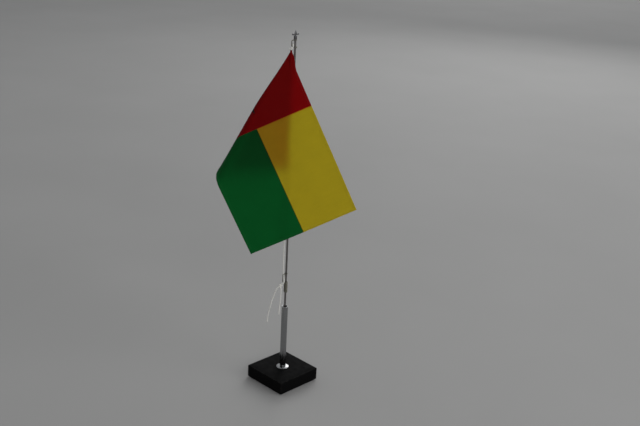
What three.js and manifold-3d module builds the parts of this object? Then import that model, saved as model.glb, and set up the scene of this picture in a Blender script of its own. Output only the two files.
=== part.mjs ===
// Desk flag stand: a square block, a chromed socket tube, a thin mast that lifts out and turns,
// and a small cloth flag on a cord between two spring-wire clips.
// Millimetres, +Z up. The origin is the middle of the felt's underside, on the table.
import * as THREE from 'three';
import { mergeVertices } from 'three/addons/utils/BufferGeometryUtils.js';
import Module from 'manifold-3d';

const wasm = await Module();
wasm.setup();

// ---------------------------------------------------------------- driving sizes
const GAP = 0.3; // space left between pieces that touch

const BASE_SIDE = 63;
const BLOCK_HEIGHT = 15.6;
const FELT_INSET = 1;
const FELT_THICKNESS = 1;
const COUNTERBORE_DIAMETER = 11;
const COUNTERBORE_DEPTH = 7;

const SCREW_DIAMETER = 3;
const SCREW_HEAD_DIAMETER = 6;
const SCREW_HEAD_HEIGHT = 2.2;
const SCREW_ENGAGEMENT = 8;
const DRIVE_SLOT_WIDTH = 0.9;
const DRIVE_SLOT_DEPTH = 1;
const WASHER_DIAMETER = 9;
const WASHER_THICKNESS = 0.8;

const DISC_DIAMETER = 16;
const DISC_THICKNESS = 1.4;
const TUBE_DIAMETER = 8;
const TUBE_WALL = 1;
const TUBE_LENGTH = 84;
const PLUG_LENGTH = 14;
const SEAT_DEPTH = 3;
const BUSH_LENGTH = 14;
const BUSH_RECESS = 1;

const ROD_DIAMETER = 2.5;
const ROD_LENGTH = 412.5;
const COLLAR_DIAMETER = 4.2;
const COLLAR_HEIGHT = 1.4;
const SPEAR_HEIGHT = 8.4;
const SPEAR_SOCKET_DEPTH = 1.4;
const SPEAR_FOOT_DIAMETER = 4;
const SPEAR_FOOT_HEIGHT = 2.4;
const SPEAR_THICKNESS = 2;
const SPEAR_ARM_REACH = 4.8;
const SPEAR_ARM_LEVEL = 0.42; // share of the spear's height
const SPEAR_KNOB_RADIUS = 1;
const SPEAR_WAIST = 1; // half the blade's width below the arms
const SPEAR_SHOULDER = 1.2; // half the blade's width above the arms
const SPEAR_BLADE_OVERLAP = 0.6; // how far the blade goes down into the foot
const SPEAR_CURVE_LOW = 0.45; // where an arm's edges bend, as a share of its reach
const SPEAR_CURVE_HIGH = 0.4;

const WIRE_DIAMETER = 0.9;
const BOW_REACH = 4.6; // from the rod's middle to the bow's upright
const BOW_CORNER = 1.2;
const BOW_CORNER_INSET = 0.2;
const TOP_BOW_HEIGHT = 6.4;
const TOP_GRIP_HEIGHT = 2.4;
const LOWER_BOW_HEIGHT = 10;
const LOWER_GRIP_HEIGHT = 15;
const UPPER_RING_HEIGHT = 1.4;
const TOP_CLIP_BELOW_COLLAR = 0.3;
const LOWER_CLIP_ABOVE_TUBE = 19.2;

const CORD_DIAMETER = 1.5;
const HALYARD_REACH = 4.9; // from the rod's middle to the cord in the flag's hem
const HALYARD_OVERLAP = 62; // how far the upper cord reaches into the hem
const CORD_SLACK = 12; // free space in the hem between the upper and lower cords
const EYE_FOOT = [1.3, 0.85]; // where the eye loop stands: out from its cord line, and across
const EYE_BEND_OUT = 0.6;
const EYE_BEND_HEIGHT = 1.2;
const EYE_CROWN_DROP = 0.4;
const HEM_EXIT_STRAIGHT = 30; // cord kept straight above the hem's lower end
const HEM_EXIT_DROP = 4;
const LEAD_REACH = 4.3; // from the rod's middle to the cord half-way down to the lower clip
const LEAD_ABOVE_BOW = 2;

const FLAG_FLY = 210;
const FLAG_HOIST = 140;
const FLAG_BELOW_BOW = 4.9; // from the bow's lower leg down to the flag's top corner
const CLOTH_THICKNESS = 0.6;
const HEM_WALL = 0.5;

// the folded flag: directions fan out from its top corner, measured in degrees of the flat cloth
const FRONT_SPAN = 49.5; // flat front layer
const FOLD_RADIUS = 3.8; // round fold at the left
const FOLD_SWEEP = 134.08;
const BACK_RADIUS = 16.36; // gently bowed back layer
const FLAG_TURN = 68; // which way the folded flag faces
const CORNER_TRIM = 5; // cloth gathered at the cord, left out of the shell
const CORNER_RELAX = 28; // distance by which the gathered corner has opened out along the top edge
const FOLD_RELAX = 80; // the same distance along the fold and behind it
const CORNER_PULL = new THREE.Vector3(4.2, 2.4, 0); // how far the cord pulls the corner

const MAST_TURN = 45; // how far the mast is turned on the base
const HALYARD_ANGLE = 210.8; // side of the rod that carries clips and cord
const SPEAR_TURN = 45;

// hand-laid routes of the two cord ends below the knot, in the mast's frame
const LONG_TAIL_POINTS = [
  [-8.9, -3.4, 130.3], [-10.4, -3.7, 128.7], [-12.0, -4.0, 125.4], [-13.6, -4.3, 121.0],
  [-15.4, -4.6, 115.0], [-17.2, -4.9, 108.5], [-18.8, -5.1, 102.0], [-20.2, -5.2, 95.0],
  [-21.0, -5.3, 89.0], [-21.4, -5.3, 83.2],
];
const SHORT_TAIL_POINTS = [
  [-5.9, -3.9, 127.6], [-5.6, -4.2, 124.0], [-5.6, -4.5, 118.0], [-6.1, -4.8, 110.0],
  [-6.7, -5.0, 102.0], [-7.2, -5.0, 93.6],
];

// ---------------------------------------------------------------- sizes that follow
const blockBottom = FELT_THICKNESS + GAP;
const blockTop = blockBottom + BLOCK_HEIGHT;
const discBottom = blockTop + GAP;
const tubeBottom = discBottom + DISC_THICKNESS + GAP;
const tubeTop = tubeBottom + TUBE_LENGTH;
const boreDiameter = TUBE_DIAMETER - 2 * TUBE_WALL;
const plugTop = tubeBottom + PLUG_LENGTH;
const screwHole = SCREW_DIAMETER + 2 * GAP;
const rodHole = ROD_DIAMETER + 2 * GAP;
const rodBottom = plugTop - SEAT_DEPTH + GAP;
const rodTop = rodBottom + ROD_LENGTH;
const spearBottom = rodTop + GAP - SPEAR_SOCKET_DEPTH;
const collarBottom = spearBottom - GAP - COLLAR_HEIGHT;
const clipHole = ROD_DIAMETER + 2 * GAP;
const clipOuter = clipHole + 2 * WIRE_DIAMETER;
const topClipTop = collarBottom - TOP_CLIP_BELOW_COLLAR;
const topClipBottom = topClipTop - UPPER_RING_HEIGHT - TOP_BOW_HEIGHT - TOP_GRIP_HEIGHT;
const topLegHeight = topClipBottom + TOP_GRIP_HEIGHT + WIRE_DIAMETER / 2;
const lowerClipBottom = tubeTop + LOWER_CLIP_ABOVE_TUBE;
const lowerLegHeight = lowerClipBottom + LOWER_GRIP_HEIGHT + WIRE_DIAMETER / 2;
const cordRadius = CORD_DIAMETER / 2;
const hemBore = CORD_DIAMETER + 2 * GAP;
const hemOuter = hemBore + 2 * HEM_WALL;
const flagTop = topLegHeight - FLAG_BELOW_BOW;
const flagBottom = flagTop - FLAG_HOIST;
const halyardAngle = THREE.MathUtils.degToRad(HALYARD_ANGLE);
const halyardX = HALYARD_REACH * Math.cos(halyardAngle);
const halyardY = HALYARD_REACH * Math.sin(halyardAngle);

// ---------------------------------------------------------------- materials
const finish = (color, roughness, metalness) => () =>
  new THREE.MeshStandardMaterial({ color, roughness, metalness });
const blackPaint = finish(0x121213, 0.55, 0);
const blackFelt = finish(0x0c0c0d, 0.95, 0);
const zincSteel = finish(0x8d9094, 0.4, 1);
const chrome = finish(0xb4b7ba, 0.12, 1);
const blackPlastic = finish(0x17181a, 0.5, 0);
const rodSteel = finish(0x8a8b8c, 0.3, 1);
const darkCast = finish(0x55575a, 0.4, 1);
const springWire = finish(0x74756c, 0.35, 1);
const whiteCord = finish(0xcfccc0, 0.85, 0);
const flagCloth = finish(0xb01210, 0.8, 0);

// ---------------------------------------------------------------- helpers
function solid(geometry) {
  const bare = geometry.clone();
  bare.deleteAttribute('normal');
  bare.deleteAttribute('uv');
  const merged = mergeVertices(bare, 1e-4);
  return new wasm.Manifold(new wasm.Mesh({
    numProp: 3,
    vertProperties: new Float32Array(merged.attributes.position.array),
    triVerts: new Uint32Array(merged.index.array),
  }));
}

function geometryOf(manifold) {
  const mesh = manifold.getMesh();
  const geometry = new THREE.BufferGeometry();
  geometry.setAttribute('position', new THREE.BufferAttribute(new Float32Array(mesh.vertProperties), 3));
  geometry.setIndex(new THREE.BufferAttribute(new Uint32Array(mesh.triVerts), 1));
  return geometry;
}

function named(name, geometry, material) {
  const mesh = new THREE.Mesh(geometry, material());
  mesh.name = name;
  return mesh;
}

// a turned piece: profile points are [radius, height], from the axis or round a ring
function turned(points, sides = 32) {
  const profile = points.map(([r, z]) => new THREE.Vector2(r, z));
  return new THREE.LatheGeometry(profile, sides).rotateX(Math.PI / 2);
}

function ring(innerDiameter, outerDiameter, bottom, top, sides = 32, chamfer = 0) {
  const inner = innerDiameter / 2;
  const outer = outerDiameter / 2;
  const profile = [
    [inner, bottom], [outer - chamfer, bottom], [outer, bottom + chamfer],
    [outer, top - chamfer], [outer - chamfer, top], [inner, top], [inner, bottom],
  ];
  return turned(chamfer > 0 ? profile : profile.filter((point, i) => i !== 1 && i !== 4), sides);
}

function pin(diameter, bottom, top, sides = 24, chamfer = 0) {
  const r = diameter / 2;
  const profile = [[0, bottom], [r - chamfer, bottom], [r, bottom + chamfer], [r, top - chamfer],
    [r - chamfer, top], [0, top]];
  return turned(chamfer > 0 ? profile : profile.filter((point, i) => i !== 1 && i !== 4), sides);
}

function wireAlong(points, diameter, steps, closed = false, sides = 8) {
  const section = new THREE.Shape();
  section.absarc(0, 0, diameter / 2, 0, Math.PI * 2);
  const route = new THREE.CatmullRomCurve3(points.map((p) => new THREE.Vector3(...p)), closed);
  return new THREE.ExtrudeGeometry(section, { steps, curveSegments: sides / 2, extrudePath: route });
}

// ---------------------------------------------------------------- base and socket
function baseBlock() {
  const half = BASE_SIDE / 2;
  const edge = 0.5;
  const outline = new THREE.Shape();
  outline.moveTo(edge - half, edge - half).lineTo(half - edge, edge - half);
  outline.lineTo(half - edge, half - edge).lineTo(edge - half, half - edge).closePath();
  const depth = BLOCK_HEIGHT - 2 * edge;
  const bevel = { bevelEnabled: true, bevelThickness: edge, bevelSize: edge, bevelSegments: 1 };
  const block = new THREE.ExtrudeGeometry(outline, { depth, ...bevel }).translate(0, 0, blockBottom + edge);
  const hole = pin(screwHole, blockBottom - 1, blockTop + 1);
  const counterbore = pin(COUNTERBORE_DIAMETER, blockBottom - 1, blockBottom + COUNTERBORE_DEPTH, 32);
  return geometryOf(solid(block).subtract(solid(hole)).subtract(solid(counterbore)));
}

function baseFelt() {
  const side = BASE_SIDE - 2 * FELT_INSET;
  return new THREE.BoxGeometry(side, side, FELT_THICKNESS).translate(0, 0, FELT_THICKNESS / 2);
}

const washerTop = blockBottom + COUNTERBORE_DEPTH - GAP;
const washerBottom = washerTop - WASHER_THICKNESS;

function baseScrew() {
  const headTop = washerBottom - GAP;
  const headBottom = headTop - SCREW_HEAD_HEIGHT;
  const head = SCREW_HEAD_DIAMETER / 2;
  const shank = SCREW_DIAMETER / 2;
  const tip = tubeBottom + SCREW_ENGAGEMENT;
  const body = turned([[0, headBottom], [head * 0.7, headBottom], [head, headBottom + SCREW_HEAD_HEIGHT / 2],
    [head, headTop], [shank, headTop], [shank, tip - 0.6], [shank - 0.6, tip], [0, tip]]);
  const slot = new THREE.BoxGeometry(SCREW_HEAD_DIAMETER + 1, DRIVE_SLOT_WIDTH, 2 * DRIVE_SLOT_DEPTH);
  return geometryOf(solid(body).subtract(solid(slot.translate(0, 0, headBottom))));
}

function tubeDisc() {
  const outer = DISC_DIAMETER / 2;
  const inner = screwHole / 2;
  const top = discBottom + DISC_THICKNESS;
  const rim = DISC_THICKNESS / 2;
  return turned([[inner, discBottom], [outer, discBottom], [outer, discBottom + rim],
    [outer - rim / 2, top - rim / 3], [outer - 2 * rim, top], [inner, top], [inner, discBottom]], 40);
}

function tubePlug() {
  const body = pin(boreDiameter - 2 * GAP, tubeBottom, plugTop, 32, 0.4);
  const thread = pin(screwHole, tubeBottom - 1, tubeBottom + SCREW_ENGAGEMENT + GAP);
  const seat = pin(rodHole, plugTop - SEAT_DEPTH, plugTop + 1);
  return geometryOf(solid(body).subtract(solid(thread)).subtract(solid(seat)));
}

// ---------------------------------------------------------------- mast
function mastRod() {
  return pin(ROD_DIAMETER, rodBottom, rodTop, 20, 0.3);
}

function finialSpear() {
  const bladeBottom = spearBottom + SPEAR_FOOT_HEIGHT - SPEAR_BLADE_OVERLAP;
  const tip = spearBottom + SPEAR_HEIGHT;
  const armHeight = spearBottom + SPEAR_HEIGHT * SPEAR_ARM_LEVEL;
  const knob = SPEAR_KNOB_RADIUS;
  const armEnd = SPEAR_ARM_REACH - knob;
  const lowBend = SPEAR_ARM_REACH * SPEAR_CURVE_LOW;
  const highBend = SPEAR_ARM_REACH * SPEAR_CURVE_HIGH;
  const shoulderBend = armHeight + 2 * SPEAR_SHOULDER;
  const shape = new THREE.Shape();
  shape.moveTo(-SPEAR_WAIST, bladeBottom);
  shape.quadraticCurveTo(-lowBend, bladeBottom, -armEnd, armHeight - knob);
  shape.absarc(-armEnd, armHeight, knob, -Math.PI / 2, Math.PI / 2, true);
  shape.quadraticCurveTo(-highBend, armHeight + knob / 2, -SPEAR_SHOULDER, armHeight + knob);
  shape.quadraticCurveTo(-SPEAR_SHOULDER, shoulderBend, 0, tip);
  shape.quadraticCurveTo(SPEAR_SHOULDER, shoulderBend, SPEAR_SHOULDER, armHeight + knob);
  shape.quadraticCurveTo(highBend, armHeight + knob / 2, armEnd, armHeight + knob);
  shape.absarc(armEnd, armHeight, knob, Math.PI / 2, -Math.PI / 2, true);
  shape.quadraticCurveTo(lowBend, bladeBottom, SPEAR_WAIST, bladeBottom);
  shape.closePath();
  const cut = { depth: SPEAR_THICKNESS, bevelEnabled: false, curveSegments: 6 };
  const blade = new THREE.ExtrudeGeometry(shape, cut)
    .translate(0, 0, -SPEAR_THICKNESS / 2).rotateX(Math.PI / 2);
  const foot = pin(SPEAR_FOOT_DIAMETER, spearBottom, spearBottom + SPEAR_FOOT_HEIGHT, 24, 0.3);
  const socket = pin(rodHole, spearBottom - 1, spearBottom + SPEAR_SOCKET_DEPTH);
  const joined = solid(foot).add(solid(blade)).subtract(solid(socket));
  return geometryOf(joined).rotateZ(THREE.MathUtils.degToRad(SPEAR_TURN));
}

// a grip of close turns round the rod, a bow of the same wire, and one ring above it
function springClip(bottom, gripHeight, bowHeight) {
  const gripTop = bottom + gripHeight;
  const ringBottom = gripTop + bowHeight;
  const grip = ring(clipHole, clipOuter, bottom, gripTop, 20);
  const upperRing = ring(clipHole, clipOuter, ringBottom, ringBottom + UPPER_RING_HEIGHT, 20);
  const radius = WIRE_DIAMETER / 2;
  const start = clipHole / 2 + radius;
  const inset = BOW_CORNER_INSET;
  const turnIn = BOW_REACH - BOW_CORNER;
  const low = gripTop - radius;
  const high = ringBottom + radius;
  const bow = wireAlong([
    [start, 0, low], [turnIn, 0, low + inset], [BOW_REACH - inset, 0, low + BOW_CORNER],
    [BOW_REACH, 0, (low + high) / 2],
    [BOW_REACH - inset, 0, high - BOW_CORNER], [turnIn, 0, high - inset], [start, 0, high],
  ], WIRE_DIAMETER, 24);
  const joined = solid(grip).add(solid(upperRing)).add(solid(bow));
  return geometryOf(joined).rotateZ(halyardAngle);
}

// ---------------------------------------------------------------- halyard
// a point beside the rod: out along the clips' side, across it, and up
function besideRod(out, across, height) {
  const c = Math.cos(halyardAngle);
  const s = Math.sin(halyardAngle);
  return [out * c - across * s, out * s + across * c, height];
}

const eyeCord = clipHole / 2 + GAP + cordRadius + 0.35; // cord between the rod and the bow's upright
const topKnotWidth = 3.2;
const topKnotHeight = 2;
const KNOT_LOBES = 3;
const KNOT_SWELL = 0.07;
const topKnotMiddle = flagTop + GAP + topKnotHeight / 2;

// both ends of the loop stand on the top knot, and it passes over the bow's lower leg
function eyeLoop() {
  const side = cordRadius + WIRE_DIAMETER / 2 + GAP;
  const over = topLegHeight + WIRE_DIAMETER / 2 + GAP + cordRadius;
  const foot = topKnotMiddle + topKnotHeight / 2 + GAP;
  const points = [
    [eyeCord + EYE_FOOT[0], EYE_FOOT[1], foot], [eyeCord + EYE_BEND_OUT, side, foot + EYE_BEND_HEIGHT],
    [eyeCord, side, topLegHeight], [eyeCord, side * 0.65, over - EYE_CROWN_DROP], [eyeCord, 0, over],
  ];
  const back = points.slice(0, -1).reverse().map(([out, across, height]) => [out, -across, height]);
  return wireAlong([...points, ...back].map((p) => besideRod(...p)), CORD_DIAMETER, 24);
}

// a small tight knot: a squashed ball whose surface swells where the cord crosses itself
function knot(width, height, lobes) {
  const ball = new THREE.SphereGeometry(1, 16, 10);
  const position = ball.attributes.position;
  const point = new THREE.Vector3();
  for (let i = 0; i < position.count; i += 1) {
    point.fromBufferAttribute(position, i);
    const swell = 1 + KNOT_SWELL * (1 - point.y * point.y) * Math.cos(lobes * Math.atan2(point.z, point.x));
    position.setXYZ(i, point.x * swell * width / 2, point.y * height / 2, point.z * swell * width / 2);
  }
  return ball.rotateX(Math.PI / 2);
}

function halyardUpper() {
  const top = flagTop;
  return pin(CORD_DIAMETER, flagTop - HALYARD_OVERLAP, top, 12).translate(halyardX, halyardY, 0);
}

const clipKnotMiddle = [-6.2, -2.9, lowerLegHeight - 5.5];
const clipKnotWidth = 4.6;
const clipKnotHeight = 5.2;

// down from the hem, in behind the bow's upper leg, out in front of its lower leg and to the knot
function halyardLower() {
  const side = cordRadius + WIRE_DIAMETER / 2 + GAP + 0.2;
  const [knotX, knotY, knotZ] = clipKnotMiddle;
  const start = flagTop - HALYARD_OVERLAP - CORD_SLACK;
  const upperLegHeight = lowerLegHeight + LOWER_BOW_HEIGHT;
  const points = [
    [halyardX, halyardY, start], [halyardX, halyardY, flagBottom + HEM_EXIT_STRAIGHT],
    [halyardX, halyardY, flagBottom - HEM_EXIT_DROP],
    besideRod(LEAD_REACH, -side / 2, (flagBottom + upperLegHeight) / 2),
    besideRod(eyeCord + GAP, -side, upperLegHeight + LEAD_ABOVE_BOW),
    besideRod(eyeCord, 0, lowerLegHeight + LOWER_BOW_HEIGHT / 2),
    besideRod(eyeCord + WIRE_DIAMETER / 2, side, lowerLegHeight),
    besideRod(eyeCord + 2, side * 0.7, lowerLegHeight - 2),
    [knotX + 2 * GAP, knotY, knotZ + clipKnotHeight / 2 + 2 * GAP],
  ];
  return wireAlong(points, CORD_DIAMETER, 72);
}

// ---------------------------------------------------------------- flag
// The cloth hangs from its top corner as a cone of straight lines: flat in front, round the fold,
// and bowed behind. An angle of the flat cloth, from the top edge (0) to the hoist (90 degrees),
// picks one line; its direction moves over a unit sphere along three arcs of one length each.
function arcStep(state, length, angularRadius) {
  const side = new THREE.Vector3().crossVectors(state.line, state.along);
  const axis = side.clone();
  let turn = length;
  if (angularRadius !== null) {
    axis.multiplyScalar(Math.sin(angularRadius)).addScaledVector(state.line, Math.cos(angularRadius));
    turn = length / Math.sin(angularRadius);
  }
  const line = state.line.clone().applyAxisAngle(axis, turn);
  const along = state.along.clone().applyAxisAngle(axis, turn);
  return { line, along };
}

const frontSpan = THREE.MathUtils.degToRad(FRONT_SPAN);
const foldRadius = THREE.MathUtils.degToRad(FOLD_RADIUS);
const foldSpan = THREE.MathUtils.degToRad(FOLD_SWEEP) * Math.sin(foldRadius);
const backRadius = THREE.MathUtils.degToRad(BACK_RADIUS);
const backSpan = Math.PI / 2 - frontSpan - foldSpan;

function unplacedLine(angle) {
  let state = { line: new THREE.Vector3(1, 0, 0), along: new THREE.Vector3(0, 1, 0) };
  state = arcStep(state, Math.min(angle, frontSpan), null);
  if (angle > frontSpan) state = arcStep(state, Math.min(angle - frontSpan, foldSpan), foldRadius);
  if (angle > frontSpan + foldSpan) state = arcStep(state, angle - frontSpan - foldSpan, backRadius);
  return state;
}

const hoistDown = new THREE.Quaternion()
  .setFromUnitVectors(unplacedLine(Math.PI / 2).line, new THREE.Vector3(0, 0, -1));
const flagFacing = new THREE.Quaternion()
  .setFromAxisAngle(new THREE.Vector3(0, 0, 1), THREE.MathUtils.degToRad(FLAG_TURN))
  .multiply(hoistDown);

function relaxDistance(angle) {
  return THREE.MathUtils.lerp(CORNER_RELAX, FOLD_RELAX, Math.min(angle / frontSpan, 1));
}

function clothPoint(angle, distance, offset) {
  const state = unplacedLine(angle);
  const face = new THREE.Vector3().crossVectors(state.along, state.line);
  const opened = THREE.MathUtils.smoothstep(distance, CORNER_TRIM, relaxDistance(angle));
  const towardsHoist = THREE.MathUtils.smoothstep(angle, frontSpan + foldSpan, Math.PI / 2);
  return state.line.multiplyScalar(distance).addScaledVector(face, offset).applyQuaternion(flagFacing)
    .addScaledVector(CORNER_PULL, -opened * (1 - towardsHoist))
    .add(new THREE.Vector3(halyardX, halyardY, flagTop));
}

function flagGeometry() {
  const flyCorner = Math.atan2(FLAG_HOIST, FLAG_FLY);
  const foldSteps = 6;
  const backSteps = 8;
  const angles = [0, flyCorner, frontSpan];
  for (let i = 1; i <= foldSteps; i += 1) angles.push(frontSpan + foldSpan * i / foldSteps);
  for (let i = 1; i <= backSteps; i += 1) angles.push(frontSpan + foldSpan + backSpan * i / backSteps);
  const openingSteps = 5;
  const across = angles.length - 1;
  const along = openingSteps + 1;
  const shell = mergeVertices(new THREE.BoxGeometry(1, 1, 1, across, along, 1).deleteAttribute('normal')
    .deleteAttribute('uv'));
  const position = shell.attributes.position;
  for (let i = 0; i < position.count; i += 1) {
    const angle = angles[Math.round((position.getX(i) + 0.5) * across)];
    const step = Math.round((position.getY(i) + 0.5) * along);
    const edge = angle < flyCorner ? FLAG_FLY / Math.cos(angle) : FLAG_HOIST / Math.sin(angle);
    const opening = CORNER_TRIM + (relaxDistance(angle) - CORNER_TRIM) * step / openingSteps;
    const distance = step > openingSteps ? edge : opening;
    const point = clothPoint(angle, distance, position.getZ(i) * CLOTH_THICKNESS);
    position.setXYZ(i, point.x, point.y, point.z);
  }
  const hem = pin(hemOuter, flagBottom, flagTop, 20).translate(halyardX, halyardY, 0);
  const bore = pin(hemBore, flagBottom - 1, flagTop + 1, 20).translate(halyardX, halyardY, 0);
  return geometryOf(solid(shell).add(solid(hem)).subtract(solid(bore)));
}

// ---------------------------------------------------------------- assembly
const group = new THREE.Group();
group.add(named('base_block', baseBlock(), blackPaint));
group.add(named('base_felt', baseFelt(), blackFelt));
group.add(named('base_screw', baseScrew(), zincSteel));
group.add(named('screw_washer', ring(screwHole, WASHER_DIAMETER, washerBottom, washerTop), zincSteel));
group.add(named('tube_disc', tubeDisc(), chrome));
group.add(named('holder_tube', ring(boreDiameter, TUBE_DIAMETER, tubeBottom, tubeTop, 40, 0.25), chrome));
group.add(named('tube_plug', tubePlug(), zincSteel));

const bushTop = tubeTop - BUSH_RECESS;
const bushBottom = bushTop - BUSH_LENGTH;
const bushOuter = boreDiameter - 2 * GAP;
const edgeBreak = 0.3; // chamfer on small turned edges
group.add(named('mouth_bush', ring(rodHole, bushOuter, bushBottom, bushTop, 32, edgeBreak), blackPlastic));

const mast = new THREE.Group();
mast.rotation.z = THREE.MathUtils.degToRad(MAST_TURN);
group.add(mast);
mast.add(named('mast_rod', mastRod(), rodSteel));
mast.add(named('finial_collar',
  ring(rodHole, COLLAR_DIAMETER, collarBottom, collarBottom + COLLAR_HEIGHT, 24, edgeBreak), darkCast));
mast.add(named('finial_spear', finialSpear(), darkCast));
mast.add(named('top_clip', springClip(topClipBottom, TOP_GRIP_HEIGHT, TOP_BOW_HEIGHT), springWire));
mast.add(named('eye_loop', eyeLoop(), whiteCord));
const topKnot = knot(topKnotWidth, topKnotHeight, KNOT_LOBES).translate(halyardX, halyardY, topKnotMiddle);
mast.add(named('top_knot', topKnot, whiteCord));
mast.add(named('halyard_upper', halyardUpper(), whiteCord));
mast.add(named('flag_cloth', flagGeometry(), flagCloth));
mast.add(named('lower_clip', springClip(lowerClipBottom, LOWER_GRIP_HEIGHT, LOWER_BOW_HEIGHT), springWire));
mast.add(named('halyard_lower', halyardLower(), whiteCord));
const clipKnot = knot(clipKnotWidth, clipKnotHeight, KNOT_LOBES).translate(...clipKnotMiddle);
mast.add(named('clip_knot', clipKnot, whiteCord));
mast.add(named('long_tail', wireAlong(LONG_TAIL_POINTS, CORD_DIAMETER, 16), whiteCord));
mast.add(named('short_tail', wireAlong(SHORT_TAIL_POINTS, CORD_DIAMETER, 12), whiteCord));

export default group;
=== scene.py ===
# %% [markdown]
# # A desk flag stand
# A black block carries a chromed socket tube. A thin steel mast stands in the tube, and a small cloth
# flag hangs from the mast on a cord. The solid model of every piece comes in first, as a fixed frame.
# Everything below is drawn round it, in metres, with each piece in its place in its own mesh.

# %% Load the frame
import math

import bmesh
import bpy
from mathutils import Matrix, Quaternion, Vector
from mathutils.bvhtree import BVHTree


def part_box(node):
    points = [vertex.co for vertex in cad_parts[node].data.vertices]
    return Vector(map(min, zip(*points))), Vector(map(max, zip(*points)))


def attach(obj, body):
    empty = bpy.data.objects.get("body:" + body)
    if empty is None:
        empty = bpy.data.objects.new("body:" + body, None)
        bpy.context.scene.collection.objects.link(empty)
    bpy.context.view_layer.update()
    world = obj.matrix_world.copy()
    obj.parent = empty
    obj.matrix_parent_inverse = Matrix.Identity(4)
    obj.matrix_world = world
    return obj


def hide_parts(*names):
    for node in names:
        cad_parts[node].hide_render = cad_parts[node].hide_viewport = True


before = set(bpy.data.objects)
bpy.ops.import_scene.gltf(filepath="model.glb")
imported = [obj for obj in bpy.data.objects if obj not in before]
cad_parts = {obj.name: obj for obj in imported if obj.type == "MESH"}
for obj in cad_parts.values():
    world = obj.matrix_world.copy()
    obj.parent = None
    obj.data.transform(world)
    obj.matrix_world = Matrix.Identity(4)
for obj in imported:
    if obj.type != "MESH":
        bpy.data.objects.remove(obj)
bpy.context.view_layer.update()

MM = 0.001

# %% [markdown]
# ## Camera
# The camera looks down on one corner of the block from a little more than a metre away. It is rolled
# by three degrees, so that the mast leans a little to the right. It could be aimed with a Track To
# constraint, but three direction vectors say the same thing and add nothing to the scene.

# %% Camera
VIEW_TURN = math.radians(44.1)
VIEW_PITCH = math.radians(19.59)
VIEW_ROLL = math.radians(2.94)
VIEW_DISTANCE = 1.2344
BASE_RIGHT = -0.0494  # where the middle of the base lies, across and up from the line of sight
BASE_UP = -0.2145
LENS = 53.4


def aim_camera():
    turn = Matrix.Rotation(VIEW_TURN, 3, "Z")
    forward = turn @ Vector((0, math.cos(VIEW_PITCH), -math.sin(VIEW_PITCH)))
    level = turn @ Vector((1, 0, 0))
    roll = Quaternion(forward, -VIEW_ROLL)
    right = roll @ level
    up = roll @ level.cross(forward)
    place = -(VIEW_DISTANCE * forward + BASE_RIGHT * right + BASE_UP * up)
    data = bpy.data.cameras.new("camera")
    data.lens = LENS
    data.clip_start = 0.01
    camera = bpy.data.objects.new("camera", data)
    camera.matrix_world = Matrix.Translation(place) @ Matrix((right, up, -forward)).transposed().to_4x4()
    bpy.context.scene.collection.objects.link(camera)
    bpy.context.scene.camera = camera
    return camera


camera = aim_camera()
print("camera at", [round(v, 3) for v in camera.matrix_world.translation])

# %% [markdown]
# ## Mesh helpers
# Most pieces here are either turned on a lathe or bent from something round: wire, rod or cord. So two
# helpers do most of the work. `turned` spins a profile about the mast, and `swept` runs a round section
# along a route. Both write the faces themselves, so the mesh is closed from the start, where Spin or a
# curve with caps needs a clean-up. `belongs` then says which body a piece rides on and which solid it
# stands for.

# %% Helpers for meshes
SHARP_EDGE = math.radians(32)
FINE_STEPS = 24  # steps between two given points of a route, before it is spaced evenly
ON_AXIS = 0.0001 * MM  # the inner radius of a turned piece that is solid


def coat(mesh, material):
    mesh.materials.clear()
    mesh.materials.append(material)


def piece(name, mesh, material, sharp=True):
    obj = bpy.data.objects.new(name, mesh)
    bpy.context.scene.collection.objects.link(obj)
    coat(mesh, material)
    mesh.polygons.foreach_set("use_smooth", [True] * len(mesh.polygons))
    if sharp:
        mesh.set_sharp_from_angle(angle=SHARP_EDGE)
    return obj


def belongs(obj, body, solid):
    """Says which body a piece rides on and hides the solid it stands for."""
    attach(obj, body)
    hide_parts(solid)
    print(obj.name, [round(v / MM, 1) for v in obj.dimensions], "mm,", len(obj.data.polygons), "faces")


def mesh_from(name, points, faces):
    mesh = bpy.data.meshes.new(name)
    mesh.from_pydata([tuple(p) for p in points], [], faces)
    mesh.validate()
    mesh.update()
    return mesh


def outward(mesh):
    work = bmesh.new()
    work.from_mesh(mesh)
    bmesh.ops.remove_doubles(work, verts=work.verts, dist=1e-7)
    bmesh.ops.recalc_face_normals(work, faces=work.faces)
    work.to_mesh(mesh)
    work.free()
    return mesh


def band(here, there, count):
    """The faces between two rings of points, given the number of each ring's first point."""
    return [(here + j, here + (j + 1) % count, there + (j + 1) % count, there + j) for j in range(count)]


def turned(name, profile, sides):
    """A closed ring profile, as (radius, height) pairs in metres, spun about the mast."""
    count = len(profile)
    points = []
    for i in range(sides):
        angle = math.tau * i / sides
        points += [(r * math.cos(angle), r * math.sin(angle), z) for r, z in profile]
    faces = []
    for i in range(sides):
        here, there = i * count, (i + 1) % sides * count
        for j in range(count):
            k = (j + 1) % count
            faces.append((here + j, there + j, there + k, here + k))
    return outward(mesh_from(name, points, faces))


def rounded(corners, cuts, steps=4):
    """A closed profile with each corner rounded off, from the given distance before it to after it."""
    out = []
    for i, ((r, z), cut) in enumerate(zip(corners, cuts)):
        here = Vector((r, z))
        before = (Vector(corners[i - 1]) - here).normalized()
        after = (Vector(corners[(i + 1) % len(corners)]) - here).normalized()
        if cut <= 0:
            out.append((r, z))
            continue
        first, last = here + before * cut, here + after * cut
        for s in range(steps + 1):
            t = s / steps
            out.append(tuple(first.lerp(here, t).lerp(here.lerp(last, t), t)))
    return out


def end_caps(rings, count):
    last = (rings - 1) * count
    return [tuple(reversed(range(count))), tuple(range(last, last + count))]


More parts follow.
